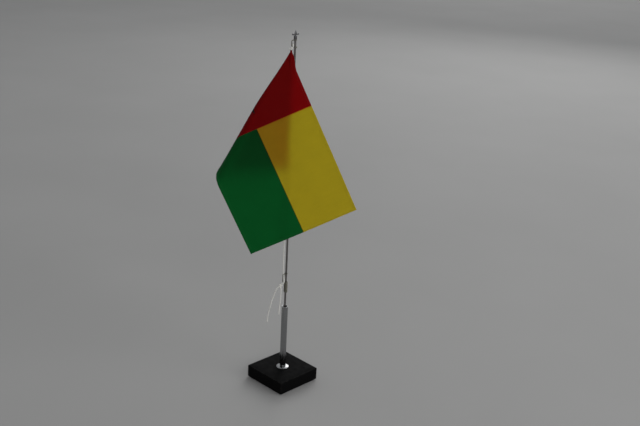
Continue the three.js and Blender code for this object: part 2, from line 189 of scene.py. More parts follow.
def smooth_route(points, spacing):
    """Points at an even spacing on a Catmull-Rom curve through the given ones."""
    given = [Vector(p) for p in points]
    fine = []
    for i in range(len(given) - 1):
        a, b, c, d = given[max(i - 1, 0)], given[i], given[i + 1], given[min(i + 2, len(given) - 1)]
        for s in range(FINE_STEPS):
            t = s / FINE_STEPS
            fine.append(0.5 * (2 * b + (c - a) * t + (2 * a - 5 * b + 4 * c - d) * t * t
                               + (3 * b - a - 3 * c + d) * t ** 3))
    fine.append(given[-1])
    travelled = [0.0]
    for a, b in zip(fine, fine[1:]):
        travelled.append(travelled[-1] + (b - a).length)
    count = max(2, round(travelled[-1] / spacing))
    route, j = [], 0
    for i in range(count + 1):
        goal = travelled[-1] * i / count
        while j < len(fine) - 2 and travelled[j + 1] < goal:
            j += 1
        share = (goal - travelled[j]) / max(travelled[j + 1] - travelled[j], 1e-9)
        route.append(fine[j].lerp(fine[j + 1], min(max(share, 0), 1)))
    return route


def route_length(route):
    return sum((b - a).length for a, b in zip(route, route[1:]))


def swept(name, route, radius_at, sides, closed=False):
    """A round section carried along a route. radius_at(distance, angle) gives its size there."""
    count = len(route)
    along = []
    for i in range(count):
        before = route[i - 1] if i or closed else route[0]
        after = route[(i + 1) % count] if i < count - 1 or closed else route[-1]
        along.append((after - before).normalized())
    across = along[0].orthogonal().normalized()
    points, distance = [], 0.0
    for i in range(count):
        if i:
            distance += (route[i] - route[i - 1]).length
            across = along[i - 1].rotation_difference(along[i]) @ across
        other = along[i].cross(across)
        for j in range(sides):
            angle = math.tau * j / sides
            spread = across * math.cos(angle) + other * math.sin(angle)
            points.append(route[i] + spread * radius_at(distance, angle))
    faces = []
    for i in range(count if closed else count - 1):
        faces += band(i * sides, (i + 1) % count * sides, sides)
    if not closed:
        faces += end_caps(count, sides)
    return mesh_from(name, points, faces)


def joined(name, meshes):
    work = bmesh.new()
    for mesh in meshes:
        work.from_mesh(mesh)
    out = bpy.data.meshes.new(name)
    work.to_mesh(out)
    work.free()
    return out


def modified(obj):
    """The object's mesh with its modifiers in it, as a plain mesh, and the modifiers gone."""
    graph = bpy.context.evaluated_depsgraph_get()
    mesh = bpy.data.meshes.new_from_object(obj.evaluated_get(graph))
    obj.modifiers.clear()
    obj.data = mesh
    return obj


# %% [markdown]
# ## Shader helpers
# Two effects are node groups with named inputs, made once and placed in every material that needs them:
# soft marks that change the gloss, and a mask for paint that is rubbed thin at a block's edges.
# The groups only put out numbers. The shader itself stays in its material, where it can be read.

# %% Shader groups
def shader_group(name, inputs, outputs):
    group = bpy.data.node_groups.new(name, "ShaderNodeTree")
    for label, kind, value in inputs:
        socket = group.interface.new_socket(label, in_out="INPUT", socket_type=kind)
        if value is not None:
            socket.default_value = value
    for label, kind in outputs:
        group.interface.new_socket(label, in_out="OUTPUT", socket_type=kind)
    return group, group.nodes.new("NodeGroupInput"), group.nodes.new("NodeGroupOutput")


def node(tree, kind, links=(), **settings):
    """A node with its settings made, and its inputs joined or given a value, by name or by number."""
    made = tree.nodes.new(kind)
    for key, value in settings.items():
        setattr(made, key, value)
    for key, value in dict(links).items():
        if isinstance(value, bpy.types.NodeSocket):
            tree.links.new(value, made.inputs[key])
        else:
            made.inputs[key].default_value = value
    return made


def math_of(tree, operation, *values):
    return node(tree, "ShaderNodeMath", dict(enumerate(values)), operation=operation).outputs[0]


def noise_of(tree, place, scale, detail, roughness=0.5):
    return node(tree, "ShaderNodeTexNoise", {"Vector": place, "Scale": scale, "Detail": detail,
                                             "Roughness": roughness}).outputs[0]


def map_range(tree, value, low, high, to_low=0.0, to_high=1.0, **settings):
    return node(tree, "ShaderNodeMapRange", {"Value": value, "From Min": low, "From Max": high,
                                             "To Min": to_low, "To Max": to_high}, **settings).outputs[0]


def blend(tree, factor, first, second):
    """A colour between two, each given as numbers or as a socket."""
    return node(tree, "ShaderNodeMix", {"Factor": factor, "A": first, "B": second},
                data_type="RGBA").outputs["Result"]


def scaled(tree, colour, level):
    return node(tree, "ShaderNodeVectorMath", {0: colour, "Scale": level}, operation="SCALE").outputs[0]


def build_marks_group():
    group, given, out = shader_group(
        "soft marks",
        [("Vector", "NodeSocketVector", None), ("Scale", "NodeSocketFloat", 40.0),
         ("Low", "NodeSocketFloat", 0.2), ("High", "NodeSocketFloat", 0.4)],
        [("Value", "NodeSocketFloat")])
    noise = noise_of(group, given.outputs["Vector"], given.outputs["Scale"], 5.0, 0.62)
    spread = map_range(group, noise, 0.3, 0.7, given.outputs["Low"], given.outputs["High"])
    group.links.new(spread, out.inputs["Value"])
    return group


def build_edge_group():
    group, given, out = shader_group(
        "rubbed edges",
        [("Vector", "NodeSocketVector", None), ("Half Side", "NodeSocketFloat", 0.03),
         ("Top", "NodeSocketFloat", 0.017), ("Width", "NodeSocketFloat", 0.001)],
        [("Mask", "NodeSocketFloat")])
    apart = node(group, "ShaderNodeSeparateXYZ", {0: given.outputs["Vector"]})

    def closeness(distance):
        """1 at a face of the block, falling to 0 over the width given."""
        share = math_of(group, "DIVIDE", distance, given.outputs["Width"])
        return node(group, "ShaderNodeClamp", {0: math_of(group, "SUBTRACT", 1.0, share)}).outputs[0]

    near = []
    for axis in (0, 1):
        out_from_middle = math_of(group, "ABSOLUTE", apart.outputs[axis])
        near.append(closeness(math_of(group, "SUBTRACT", given.outputs["Half Side"], out_from_middle)))
    near.append(closeness(math_of(group, "SUBTRACT", given.outputs["Top"], apart.outputs[2])))
    pairs = [math_of(group, "MULTIPLY", near[a], near[b]) for a, b in ((0, 1), (0, 2), (1, 2))]
    most = math_of(group, "MAXIMUM", math_of(group, "MAXIMUM", pairs[0], pairs[1]), pairs[2])
    broken = map_range(group, noise_of(group, given.outputs["Vector"], 260.0, 4.0), 0.42, 0.62)
    group.links.new(math_of(group, "MULTIPLY", most, broken), out.inputs["Mask"])
    return group


MARKS = build_marks_group()
EDGES = build_edge_group()
print("shader groups:", MARKS.name, "and", EDGES.name)


def material(name, base, roughness, metallic=0.0, sheen=0.0):
    made = bpy.data.materials.new(name)
    made.use_nodes = True
    shader = made.node_tree.nodes["Principled BSDF"]
    shader.inputs["Base Color"].default_value = (*base, 1)
    shader.inputs["Roughness"].default_value = roughness
    shader.inputs["Metallic"].default_value = metallic
    shader.inputs["Sheen Weight"].default_value = sheen
    return made, made.node_tree, shader


def object_place(tree, stretch=(1, 1, 1)):
    place = node(tree, "ShaderNodeTexCoord").outputs["Object"]
    return node(tree, "ShaderNodeMapping", {"Vector": place, "Scale": stretch}).outputs[0]


def add_marks(tree, shader, place, scale, low, high):
    marks = node(tree, "ShaderNodeGroup", {"Vector": place, "Scale": scale, "Low": low, "High": high},
                 node_tree=MARKS)
    tree.links.new(marks.outputs["Value"], shader.inputs["Roughness"])


def add_bump(tree, shader, height, strength, distance):
    bump = node(tree, "ShaderNodeBump", {"Height": height, "Strength": strength, "Distance": distance})
    tree.links.new(bump.outputs[0], shader.inputs["Normal"])
    return bump


# %% [markdown]
# ## Metal finishes
# The tube and its disc are chromed: a mirror with faint wiping marks, so little but the gloss varies.
# The rod is drawn through a die, which leaves fine lines along it. Stretching the noise along the mast
# gives those lines. The finial is a dull casting and the clips are spring wire, rougher and a little
# warm.

# %% Metal materials
def metal(name, base, scale, low, high, stretch, bump):
    made, tree, shader = material(name, base, low, metallic=1.0)
    place = object_place(tree, stretch)
    add_marks(tree, shader, place, scale, low, high)
    add_bump(tree, shader, noise_of(tree, place, scale * 6, 4.0), bump, 0.0001)
    return made


chrome = metal("chrome", (0.31, 0.315, 0.32), 90, 0.15, 0.28, (1, 1, 0.35), 0.04)
drawn_steel = metal("drawn_steel", (0.20, 0.19, 0.185), 2600, 0.24, 0.36, (1, 1, 0.01), 0.08)
cast_metal = metal("cast_metal", (0.15, 0.15, 0.155), 420, 0.32, 0.52, (1, 1, 1), 0.35)
spring_wire = metal("spring_wire", (0.21, 0.205, 0.17), 900, 0.26, 0.44, (1, 1, 1), 0.12)
zinc_steel = metal("zinc_steel", (0.55, 0.57, 0.60), 300, 0.24, 0.42, (1, 1, 1), 0.08)
print("metals:", chrome.name, drawn_steel.name, cast_metal.name, spring_wire.name, zinc_steel.name)

# %% [markdown]
# ## Paint, plastic, felt and cord
# The block is wood under matt black paint. A stretched noise lets a trace of the grain through, and a
# mask made from the distance to the block's edges rubs the paint a little thinner there. Felt and cord
# are fibres, so both get sheen on the shader and a fine, high noise as bump.

# %% Other plain materials
base_low, base_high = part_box("base_block")
WHOLE_PAINT = (0.0036, 0.0036, 0.0037, 1)
RUBBED_PAINT = (0.014, 0.0135, 0.013, 1)
RUBBED_WIDTH = 1.6 * MM


def black_paint_material():
    made, tree, shader = material("black_paint", (0.006, 0.006, 0.006), 0.7)
    shader.inputs["Specular IOR Level"].default_value = 0.05
    place = object_place(tree)
    add_marks(tree, shader, place, 120, 0.72, 0.90)
    rubbed = node(tree, "ShaderNodeGroup", {"Vector": place, "Half Side": base_high.x, "Top": base_high.z,
                                            "Width": RUBBED_WIDTH}, node_tree=EDGES)
    tint = blend(tree, rubbed.outputs["Mask"], WHOLE_PAINT, RUBBED_PAINT)
    tree.links.new(tint, shader.inputs["Base Color"])
    grain = noise_of(tree, object_place(tree, (0.06, 1, 1)), 900.0, 6.0)
    add_bump(tree, shader, grain, 0.22, 0.00012)
    return made


def fibre_material(name, base, scale, strength, sheen):
    made, tree, shader = material(name, base, 0.9, sheen=sheen)
    noise = noise_of(tree, object_place(tree), scale, 6.0, 0.7)
    dark = tuple(c * 0.85 for c in base)
    tree.links.new(blend(tree, noise, (*dark, 1), (*base, 1)), shader.inputs["Base Color"])
    add_bump(tree, shader, noise, strength, 0.0002)
    return made


def plastic_material():
    made, tree, shader = material("black_plastic", (0.016, 0.016, 0.018), 0.45)
    place = object_place(tree)
    add_marks(tree, shader, place, 500, 0.38, 0.55)
    add_bump(tree, shader, noise_of(tree, place, 2600.0, 2.0), 0.2, 0.00005)
    return made


black_paint = black_paint_material()
black_felt = fibre_material("black_felt", (0.013, 0.013, 0.014), 2600, 0.8, 0.4)
white_cord = fibre_material("white_cord", (0.92, 0.91, 0.86), 3200, 0.25, 0.1)
black_plastic = plastic_material()
print("soft and plain finishes:", black_paint.name, black_felt.name, white_cord.name, black_plastic.name)

# %% [markdown]
# ## The cord's free ends
# Below the knot the cord has two free ends, one long and one short, cut and left bare. Each follows the
# same points as its solid, after a first point inside the knot, so that it comes out of the
# knot instead of starting beside it. The cord is braided, so its radius swells along two sets of
# crossing spirals. A bump wrapped round a plain tube would be lighter, but it would be flat at the
# outline, and the outline is most of what shows of a thin cord.

# %% Mast frame and braided cord
MAST_TURN = Matrix.Rotation(math.radians(45), 3, "Z")
CORD = 0.0015
BRAID_LOBES = 3
BRAID_LAY = 0.0052
BRAID_DEPTH = 0.13
CORD_STEP = 0.0003
CORD_SIDES = 18
FRAY_LENGTH = 0.004  # a cut end opens a little over this length, into a few strands
FRAY_FLARE = 0.42
FRAY_STRANDS = 7
FRAY_DEPTH = 0.10


def on_mast(x, y, z):
    """A point given in millimetres in the mast's own directions, in the frame's metres."""
    return MAST_TURN @ Vector((x, y, z)) * MM


def braid_radius(distance, angle):
    slope = math.tau * BRAID_LOBES * distance / BRAID_LAY
    right = math.cos(BRAID_LOBES * angle + slope)
    left = math.cos(BRAID_LOBES * angle - slope)
    return CORD / 2 * (1 - BRAID_DEPTH * (1 - max(right, left)) / 2)


def braided(name, route, flare=0.0):
    length = route_length(route)

    def radius_at(distance, angle):
        opened = min(max((distance - length + FRAY_LENGTH) / FRAY_LENGTH, 0), 1)
        strands = 1 + FRAY_DEPTH * opened * math.cos(FRAY_STRANDS * angle)
        return braid_radius(distance, angle) * (1 + flare * opened * opened) * strands

    return swept(name, route, radius_at, CORD_SIDES)


# %% Free ends
LONG_TAIL = [(-8.9, -3.4, 130.3), (-10.4, -3.7, 128.7), (-12.0, -4.0, 125.4), (-13.6, -4.3, 121.0),
             (-15.4, -4.6, 115.0), (-17.2, -4.9, 108.5), (-18.8, -5.1, 102.0), (-20.2, -5.2, 95.0),
             (-21.0, -5.3, 89.0), (-21.4, -5.3, 83.2)]
SHORT_TAIL = [(-5.9, -3.9, 127.6), (-5.6, -4.2, 124.0), (-5.6, -4.5, 118.0), (-6.1, -4.8, 110.0),
              (-6.7, -5.0, 102.0), (-7.2, -5.0, 93.6)]


def free_end(name, inside_knot, points, solid):
    route = smooth_route([on_mast(*p) for p in [inside_knot] + points], CORD_STEP)
    tail = piece(name, braided(name, route, FRAY_FLARE), white_cord, sharp=False)
    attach(tail, "clip")
    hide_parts(solid)


free_end("long_cord_end", (-7.1, -3.1, 131.6), LONG_TAIL, "long_tail")
free_end("short_cord_end", (-6.2, -3.4, 130.6), SHORT_TAIL, "short_tail")

# %% [markdown]
# ## Geometry Nodes helpers
# Three things repeat or follow a path here: the turns of the wire clips, the stitches in the hems and
# the fibres at the felt's edge. Each gets a small node tree with named sizes. An array of copies or a
# particle system would also do, but a tree keeps its sizes in one place and leaves a plain mesh.

# %% Helpers for node trees
def geometry_tree(name, inputs):
    tree = bpy.data.node_groups.new(name, "GeometryNodeTree")
    tree.interface.new_socket("Geometry", in_out="INPUT", socket_type="NodeSocketGeometry")
    for label, kind, value in inputs:
        tree.interface.new_socket(label, in_out="INPUT", socket_type=kind).default_value = value
    tree.interface.new_socket("Material", in_out="INPUT", socket_type="NodeSocketMaterial")
    tree.interface.new_socket("Geometry", in_out="OUTPUT", socket_type="NodeSocketGeometry")
    return tree, tree.nodes.new("NodeGroupInput"), tree.nodes.new("NodeGroupOutput")


def close_tree(tree, given, out, made):
    real = node(tree, "GeometryNodeRealizeInstances", {0: made})
    smooth = node(tree, "GeometryNodeSetShadeSmooth", {0: real.outputs[0]})
    coated = node(tree, "GeometryNodeSetMaterial", {"Geometry": smooth.outputs[0],
                                                    "Material": given.outputs["Material"]})
    tree.links.new(coated.outputs[0], out.inputs[0])


def grown(name, mesh, tree, values):
    """What the tree makes of a mesh, as a plain object."""
    obj = bpy.data.objects.new(name, mesh)
    bpy.context.scene.collection.objects.link(obj)
    modifier = obj.modifiers.new(tree.name, "NODES")
    modifier.node_group = tree
    for item in tree.interface.items_tree:
        if item.in_out == "INPUT" and item.name in values:
            modifier[item.identifier] = values[item.name]
    return modified(obj)


# %% Tree: a round wire along a line of points
def build_wire_tree():
    tree, given, out = geometry_tree("round wire", [("Radius", "NodeSocketFloat", 0.0004),
                                                    ("Sides", "NodeSocketInt", 12)])
    line = node(tree, "GeometryNodeMeshToCurve", {0: given.outputs["Geometry"]})
    section = node(tree, "GeometryNodeCurvePrimitiveCircle", {"Radius": given.outputs["Radius"],
                                                              "Resolution": given.outputs["Sides"]})
    tube = node(tree, "GeometryNodeCurveToMesh", {"Curve": line.outputs[0], "Fill Caps": True,
                                                  "Profile Curve": section.outputs[0]})
    close_tree(tree, given, out, tube.outputs[0])
    return tree


WIRE_TREE = build_wire_tree()
print("made the tree", WIRE_TREE.name)

# %% [markdown]
# ## The block and its felt
# The block is a square of wood with barely softened edges and a round hole through it for the screw.
# A cube with a Boolean and a Bevel would need care where the hole meets the top. Here one closed
# profile goes round instead, and each of its points is a ring that is either a circle or a square.

# %% Block
EDGE = 0.5 * MM
EDGE_STEPS = 3
CORNER_STEPS = 4
SIDE_STEPS = 12
SCREW_HOLE = 1.8 * MM
HEAD_BORE = 5.5 * MM
HEAD_DEPTH = 7 * MM
TOP_RING = 0.6  # a round ring in the block's top, between the hole and the square edge


def square_ring(half, corner, height):
    inner, points = half - corner, []
    for quarter in range(4):
        turn = Matrix.Rotation(quarter * math.pi / 2, 3, "Z")
        for s in range(SIDE_STEPS):
            points.append(turn @ Vector((half, inner * (2 * s / SIDE_STEPS - 1), height)))
        for s in range(CORNER_STEPS):
            angle = math.pi / 2 * s / CORNER_STEPS
            across, along = corner * math.cos(angle), corner * math.sin(angle)
            points.append(turn @ Vector((inner + across, inner + along, height)))
    return points


def round_ring(radius, height, half, corner):
    return [Vector((*(p.xy.normalized() * radius), height)) for p in square_ring(half, corner, height)]


def rings_joined(name, rings):
    count = len(rings[0])
    faces = []
    for i in range(len(rings)):
        faces += band(i * count, (i + 1) % len(rings) * count, count)
    return outward(mesh_from(name, [p for ring in rings for p in ring], faces))


def block_mesh():
    half, low, high = base_high.x, base_low.z, base_high.z
    rings = [round_ring(SCREW_HOLE, high, half, EDGE), round_ring(TOP_RING * half, high, half, EDGE)]
    bend = [math.pi / 2 * s / EDGE_STEPS for s in range(EDGE_STEPS + 1)]
    for angle in bend:
        side = half - EDGE + EDGE * math.sin(angle)
        rings.append(square_ring(side, EDGE, high - EDGE + EDGE * math.cos(angle)))
    for angle in bend:
        side = half - EDGE + EDGE * math.cos(angle)
        rings.append(square_ring(side, EDGE, low + EDGE - EDGE * math.sin(angle)))
    for radius, height in ((HEAD_BORE, low), (HEAD_BORE, low + HEAD_DEPTH), (SCREW_HOLE, low + HEAD_DEPTH)):
        rings.append(round_ring(radius, height, half, EDGE))
    return rings_joined("painted_block", rings)


belongs(piece("painted_block", block_mesh(), black_paint), "base", "base_block")

# %% [markdown]
# The felt is cut a little smaller than the block, so only its edge is seen, as a dark fuzzy line. The
# flat pad alone would look like rubber. The fuzz is a scatter of short, three-sided fibres on the pad's
# edge faces, turned by a seeded random rotation, and there are enough of them to break up the outline.

# %% Felt pad
FIBRES_PER_AREA = 9.0e6
FIBRE_LENGTH = 0.8 * MM
FIBRE_WIDTH = 0.045 * MM
FIBRE_LEAN = (1.1, 1.1, 3.1)
SHORTEST_FIBRE = 0.35
PAD_EDGE = 0.25 * MM
PAD_CORNER = 2 * MM
MIDDLE_SHARE = 0.5  # the pad's faces end here and one flat face closes each side
felt_low, felt_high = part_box("base_felt")


def build_fuzz_tree():
    tree, given, out = geometry_tree("fuzz", [
        ("Density", "NodeSocketFloat", FIBRES_PER_AREA), ("Length", "NodeSocketFloat", FIBRE_LENGTH),
        ("Width", "NodeSocketFloat", FIBRE_WIDTH), ("Seed", "NodeSocketInt", 7)])
    facing = node(tree, "GeometryNodeInputNormal")
    tilt = node(tree, "ShaderNodeSeparateXYZ", {0: facing.outputs[0]})
    upright = math_of(tree, "LESS_THAN", math_of(tree, "ABSOLUTE", tilt.outputs[2]), 0.6)
    roots = node(tree, "GeometryNodeDistributePointsOnFaces", {
        "Mesh": given.outputs["Geometry"], "Selection": upright,
        "Density": given.outputs["Density"], "Seed": given.outputs["Seed"]})
    fibre = node(tree, "GeometryNodeMeshCone", {
        "Vertices": 3, "Side Segments": 2, "Radius Top": 0.0,
        "Radius Bottom": given.outputs["Width"], "Depth": given.outputs["Length"]})
    lean = node(tree, "FunctionNodeRandomValue", {
        "Seed": given.outputs["Seed"], "Min": tuple(-c for c in FIBRE_LEAN), "Max": FIBRE_LEAN},
        data_type="FLOAT_VECTOR")
    turn = node(tree, "FunctionNodeRotateRotation", {
        "Rotation": roots.outputs["Rotation"], "Rotate By": lean.outputs["Value"]}, rotation_space="LOCAL")
    size = node(tree, "FunctionNodeRandomValue", {
        "Seed": given.outputs["Seed"], 2: SHORTEST_FIBRE, 3: 1.0}, data_type="FLOAT")
    spread = node(tree, "GeometryNodeInstanceOnPoints", {
        "Points": roots.outputs["Points"], "Instance": fibre.outputs["Mesh"],
        "Rotation": turn.outputs[0], "Scale": size.outputs[1]})
    both = node(tree, "GeometryNodeJoinGeometry")
    tree.links.new(spread.outputs[0], both.inputs[0])
    tree.links.new(given.outputs["Geometry"], both.inputs[0])
    close_tree(tree, given, out, both.outputs[0])
    return tree


def pad_mesh():
    """The pad's edge as rings, then one flat face for its top and one for its underside."""
    half, low, high = felt_high.x, felt_low.z, felt_high.z
    levels = [(MIDDLE_SHARE * half, low), (half - PAD_EDGE, low), (half, low + PAD_EDGE),
              (half, high - PAD_EDGE), (half - PAD_EDGE, high), (MIDDLE_SHARE * half, high)]
    mesh = rings_joined("felt_pad", [square_ring(size, PAD_CORNER * size / half, z) for size, z in levels])
    reach = 1.02 * MIDDLE_SHARE * half
    work = bmesh.new()
    work.from_mesh(mesh)
    inner = [f for f in work.faces if all(max(abs(v.co.x), abs(v.co.y)) < reach for v in f.verts)]
    bmesh.ops.delete(work, geom=inner, context="FACES")
    bmesh.ops.holes_fill(work, edges=work.edges)
    bmesh.ops.recalc_face_normals(work, faces=work.faces)
    work.to_mesh(mesh)
    work.free()
    return mesh


felt = grown("felt_pad", pad_mesh(), build_fuzz_tree(), {"Material": black_felt})
for vertex in felt.data.vertices:
    vertex.co.z = max(vertex.co.z, felt_low.z)
belongs(felt, "base", "base_felt")

# %% [markdown]
# ## Screw and washer
# A screw from below holds the tube's plug and with it the whole stand. It only shows when the stand is
# turned over, so the solid pieces stay as they are and only get a zinc finish.

# %% Finishes on the solids that stay
for name in ("base_screw", "screw_washer", "tube_plug"):
    coat(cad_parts[name].data, zinc_steel)
print("zinc finish on the screw, its washer and the plug")

# %% [markdown]
# ## Disc, tube and bush
# All three are turned parts. The disc under the tube is slightly domed. The tube's mouth is rolled to a
# soft lip, and a plastic bush sits just inside it. Their profiles are rounded polygons: at this size a
# highlight on the edge is what tells the eye that a part is metal and how thick it is.

# %% Turned parts of the socket
TUBE_WALL = 1.0 * MM
BUSH_HOLE = 1.55 * MM
TUBE_LIP = [0.2 * MM, 0.3 * MM, 0.48 * MM, 0.48 * MM]
BUSH_LIP = [0.3 * MM, 0.3 * MM, 0.35 * MM, 0.5 * MM]
DISC_FLAT = 3.4 * MM  # the disc's top is flat up to this far from its rim
DISC_SLOPE = 1.6 * MM  # then it slopes gently up to here, and more steeply down to the rim
DISC_EDGES = [0, 0.15 * MM, 0.3 * MM, 0.7 * MM, 0.6 * MM, 0]


def ring_profile(node_name, inner, radii):
    low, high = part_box(node_name)
    return rounded([(inner, low.z), (high.x, low.z), (high.x, high.z), (inner, high.z)], radii)


def disc_profile():
    low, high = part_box("tube_disc")
    outer, thick = high.x, high.z - low.z
    corners = [(SCREW_HOLE, low.z), (outer, low.z), (outer, low.z + 0.45 * thick),
               (outer - DISC_SLOPE, high.z - 0.1 * thick), (outer - DISC_FLAT, high.z), (SCREW_HOLE, high.z)]
    return rounded(corners, DISC_EDGES)


def turned_piece(name, profile, sides, finish, body, solid):
    belongs(piece(name, turned(name, profile, sides), finish), body, solid)


tube_profile = ring_profile("holder_tube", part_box("holder_tube")[1].x - TUBE_WALL, TUBE_LIP)
bush_profile = ring_profile("mouth_bush", BUSH_HOLE, BUSH_LIP)
turned_piece("domed_disc", disc_profile(), 128, chrome, "base", "tube_disc")
turned_piece("socket_tube", tube_profile, 96, chrome, "base", "holder_tube")
turned_piece("mouth_bush_turned", bush_profile, 64, black_plastic, "bush", "mouth_bush")

# %% [markdown]
# ## Mast rod, collar and finial
# The rod is a plain length of drawn steel with its ends just broken. The finial is a small casting: a
# round foot, a blade like a spear's point and two short arms that end in knobs. The shapes are built
# apart and overlap. A voxel Remesh then melts them into one closed skin, and a Smooth modifier leaves
# the soft inner corners of a real casting, which a Boolean would leave knife-sharp.

# %% Rod and collar
ROD = 2.5 * MM
ROD_EDGE = 0.35 * MM
COLLAR_HOLE = 1.5 * MM
COLLAR_EDGE = 0.25 * MM
GROOVE_DEPTH = 0.25 * MM
GROOVE_HALF = 0.15 * MM
GROOVE_EDGE = 0.06 * MM


def rod_profile():
    low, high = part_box("mast_rod")
    corners = [(ON_AXIS, low.z), (ROD / 2, low.z), (ROD / 2, high.z), (ON_AXIS, high.z)]
    return rounded(corners, [0, ROD_EDGE, ROD_EDGE, 0])


def collar_profile():
    low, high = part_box("finial_collar")
    middle, outer = (low.z + high.z) / 2, high.x
    corners = [(COLLAR_HOLE, low.z), (outer, low.z), (outer, middle - GROOVE_HALF),
               (outer - GROOVE_DEPTH, middle), (outer, middle + GROOVE_HALF), (outer, high.z),
               (COLLAR_HOLE, high.z)]
    return rounded(corners, [0, COLLAR_EDGE, GROOVE_EDGE, GROOVE_EDGE, GROOVE_EDGE, COLLAR_EDGE, 0])


turned_piece("drawn_rod", rod_profile(), 48, drawn_steel, "mast", "mast_rod")
turned_piece("grooved_collar", collar_profile(), 64, cast_metal, "mast", "finial_collar")

# %% Finial
SPEAR_DIRECTION = math.radians(90)  # which way its arms reach, seen from above
spear_low, spear_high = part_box("finial_spear")
ARM_REACH = (spear_high.xy - spear_low.xy).length / 2 - 0.2 * MM
ARM_HEIGHT = 3.2 * MM
ARM_RADIUS = 0.9
ARM_THINNING = 0.2
ARM_STOP = 0.85 * MM  # an arm's line stops this far short of its knob's outer end
ARM_LINE = [(0, 0.5), (0.4, 0.25), (0.8, 0.2), (1, 0.4)]  # share of the reach, rise in millimetres
KNOBS = [(-1, 1.1 * MM), (1, 1.0 * MM)]
KNOB_HEIGHT = 3.6 * MM
FOOT = [(1.95, 0.0), (1.95, 1.2), (1.0, 2.4), (0.8, 3.0)]  # radius and height in millimetres
FOOT_EDGES = [0, 0.3 * MM, 0.5 * MM, 0.3 * MM, 0, 0]
BLADE_FOOT = 2.2 * MM
BLADE_LINE = [(0.0, 0.7), (0.10, 0.95), (0.22, 1.55), (0.34, 1.75),  # share of the height, half width in mm
              (0.50, 1.5), (0.68, 1.0), (0.86, 0.5), (1.0, 0.12)]
BLADE_FLATNESS = 0.66
BLADE_THICKEST = 1.4
BLADE_SIDES = 20
MELT_CELL = 0.12 * MM


def blade_mesh():
    low = spear_low.z + BLADE_FOOT
    tall = spear_high.z - low
    points, faces = [], []
    for share, wide in BLADE_LINE:
        deep = BLADE_FLATNESS * min(wide, BLADE_THICKEST)
        for j in range(BLADE_SIDES):
            angle = math.tau * j / BLADE_SIDES
            points.append(Vector((0, 0, low + share * tall))
                          + Vector((wide * MM * math.cos(angle), deep * MM * math.sin(angle), 0)))
    for i in range(len(BLADE_LINE) - 1):
        faces += band(i * BLADE_SIDES, (i + 1) * BLADE_SIDES, BLADE_SIDES)
    return mesh_from("blade", points, faces + end_caps(len(BLADE_LINE), BLADE_SIDES))


def arm_mesh(side):
    middle = spear_low.z + ARM_HEIGHT
    reach = ARM_REACH - ARM_STOP
    line = [(side * share * reach, 0, middle + rise * MM) for share, rise in ARM_LINE]
    route = smooth_route(line, 0.1 * MM)
    length = route_length(route)

    def radius_at(distance, angle):
        return (ARM_RADIUS - ARM_THINNING * math.sin(math.pi * min(distance / length, 1))) * MM

    return swept("arm", route, radius_at, 14)


def knob_mesh(side, radius):
    work = bmesh.new()
    bmesh.ops.create_uvsphere(work, u_segments=20, v_segments=12, radius=radius)
    place = (side * (ARM_REACH - radius), 0, spear_low.z + KNOB_HEIGHT)
    bmesh.ops.translate(work, verts=work.verts, vec=place)
    mesh = bpy.data.meshes.new("knob")
    work.to_mesh(mesh)
    work.free()
    return mesh


def finial():
    corners = [(radius * MM, spear_low.z + height * MM) for radius, height in FOOT]
    corners = [(ON_AXIS, spear_low.z), *corners, (ON_AXIS, corners[-1][1])]
    parts = [turned("foot", rounded(corners, FOOT_EDGES), 48), blade_mesh(), arm_mesh(-1), arm_mesh(1)]
    parts += [knob_mesh(side, radius) for side, radius in KNOBS]
    obj = piece("spear_finial", joined("spear_finial", parts), cast_metal, sharp=False)
    melt = obj.modifiers.new("melt", "REMESH")
    melt.mode = "VOXEL"
    melt.voxel_size = MELT_CELL
    melt.use_smooth_shade = True
    soften = obj.modifiers.new("soften", "SMOOTH")
    soften.iterations = 6
    modified(obj)
    obj.data.transform(Matrix.Rotation(SPEAR_DIRECTION, 4, "Z"))
    coat(obj.data, cast_metal)
    obj.data.polygons.foreach_set("use_smooth", [True] * len(obj.data.polygons))
    return obj


belongs(finial(), "mast", "finial_spear")

# %% [markdown]
# ## Wire clips
# Each clip is one length of spring wire. It winds round the rod in close turns that grip it, springs
# out into a square bow for the cord, and comes back to the rod for a last turn. The route is worked out
# as points, and the wire tree gives it its thickness. One continuous wire shows how the clip works,
# which a stack of separate rings doesn't.

# %% Wire clips
WIRE = 0.9 * MM
COIL_RADIUS = 2.0 * MM
BOW_REACH = 4.6 * MM
HALYARD_ANGLE = math.radians(210.8)
LEAVE = math.radians(60)  # how far off the bow's direction the wire leaves the coil
BOW_LEAD = [(2.1, -0.9, 0.15), (3.1, -0.25, 0.15)]  # out, across and up in mm, from the coil to the bow
BOW_CORNER = [(-0.7 * MM, 0.25 * MM), (-0.12 * MM, 0.8 * MM), (0, 1.7 * MM)]
RING_TURNS = 0.9
TURN_STEPS = 24
ROUTE_STEP = 0.28 * MM
UPPER_GRIP = 2.4 * MM
LOWER_GRIP = 15 * MM
UPPER_BOW = 6.4 * MM
LOWER_BOW = 10 * MM
LAST_RING = 1.4 * MM


def beside_rod(out, across, height):
    """A point beside the rod in metres: out to the clips' side, across it, and up."""
    flat = Matrix.Rotation(HALYARD_ANGLE, 3, "Z") @ Vector((out, across, height))
    return MAST_TURN @ flat


def coil_points(start, turns, low, high):
    steps = max(4, round(TURN_STEPS * turns))
    points = []
    for i in range(steps + 1):
        angle = start + math.tau * turns * i / steps
        height = low + (high - low) * i / steps
        points.append((COIL_RADIUS * math.cos(angle), COIL_RADIUS * math.sin(angle), height))
    return points


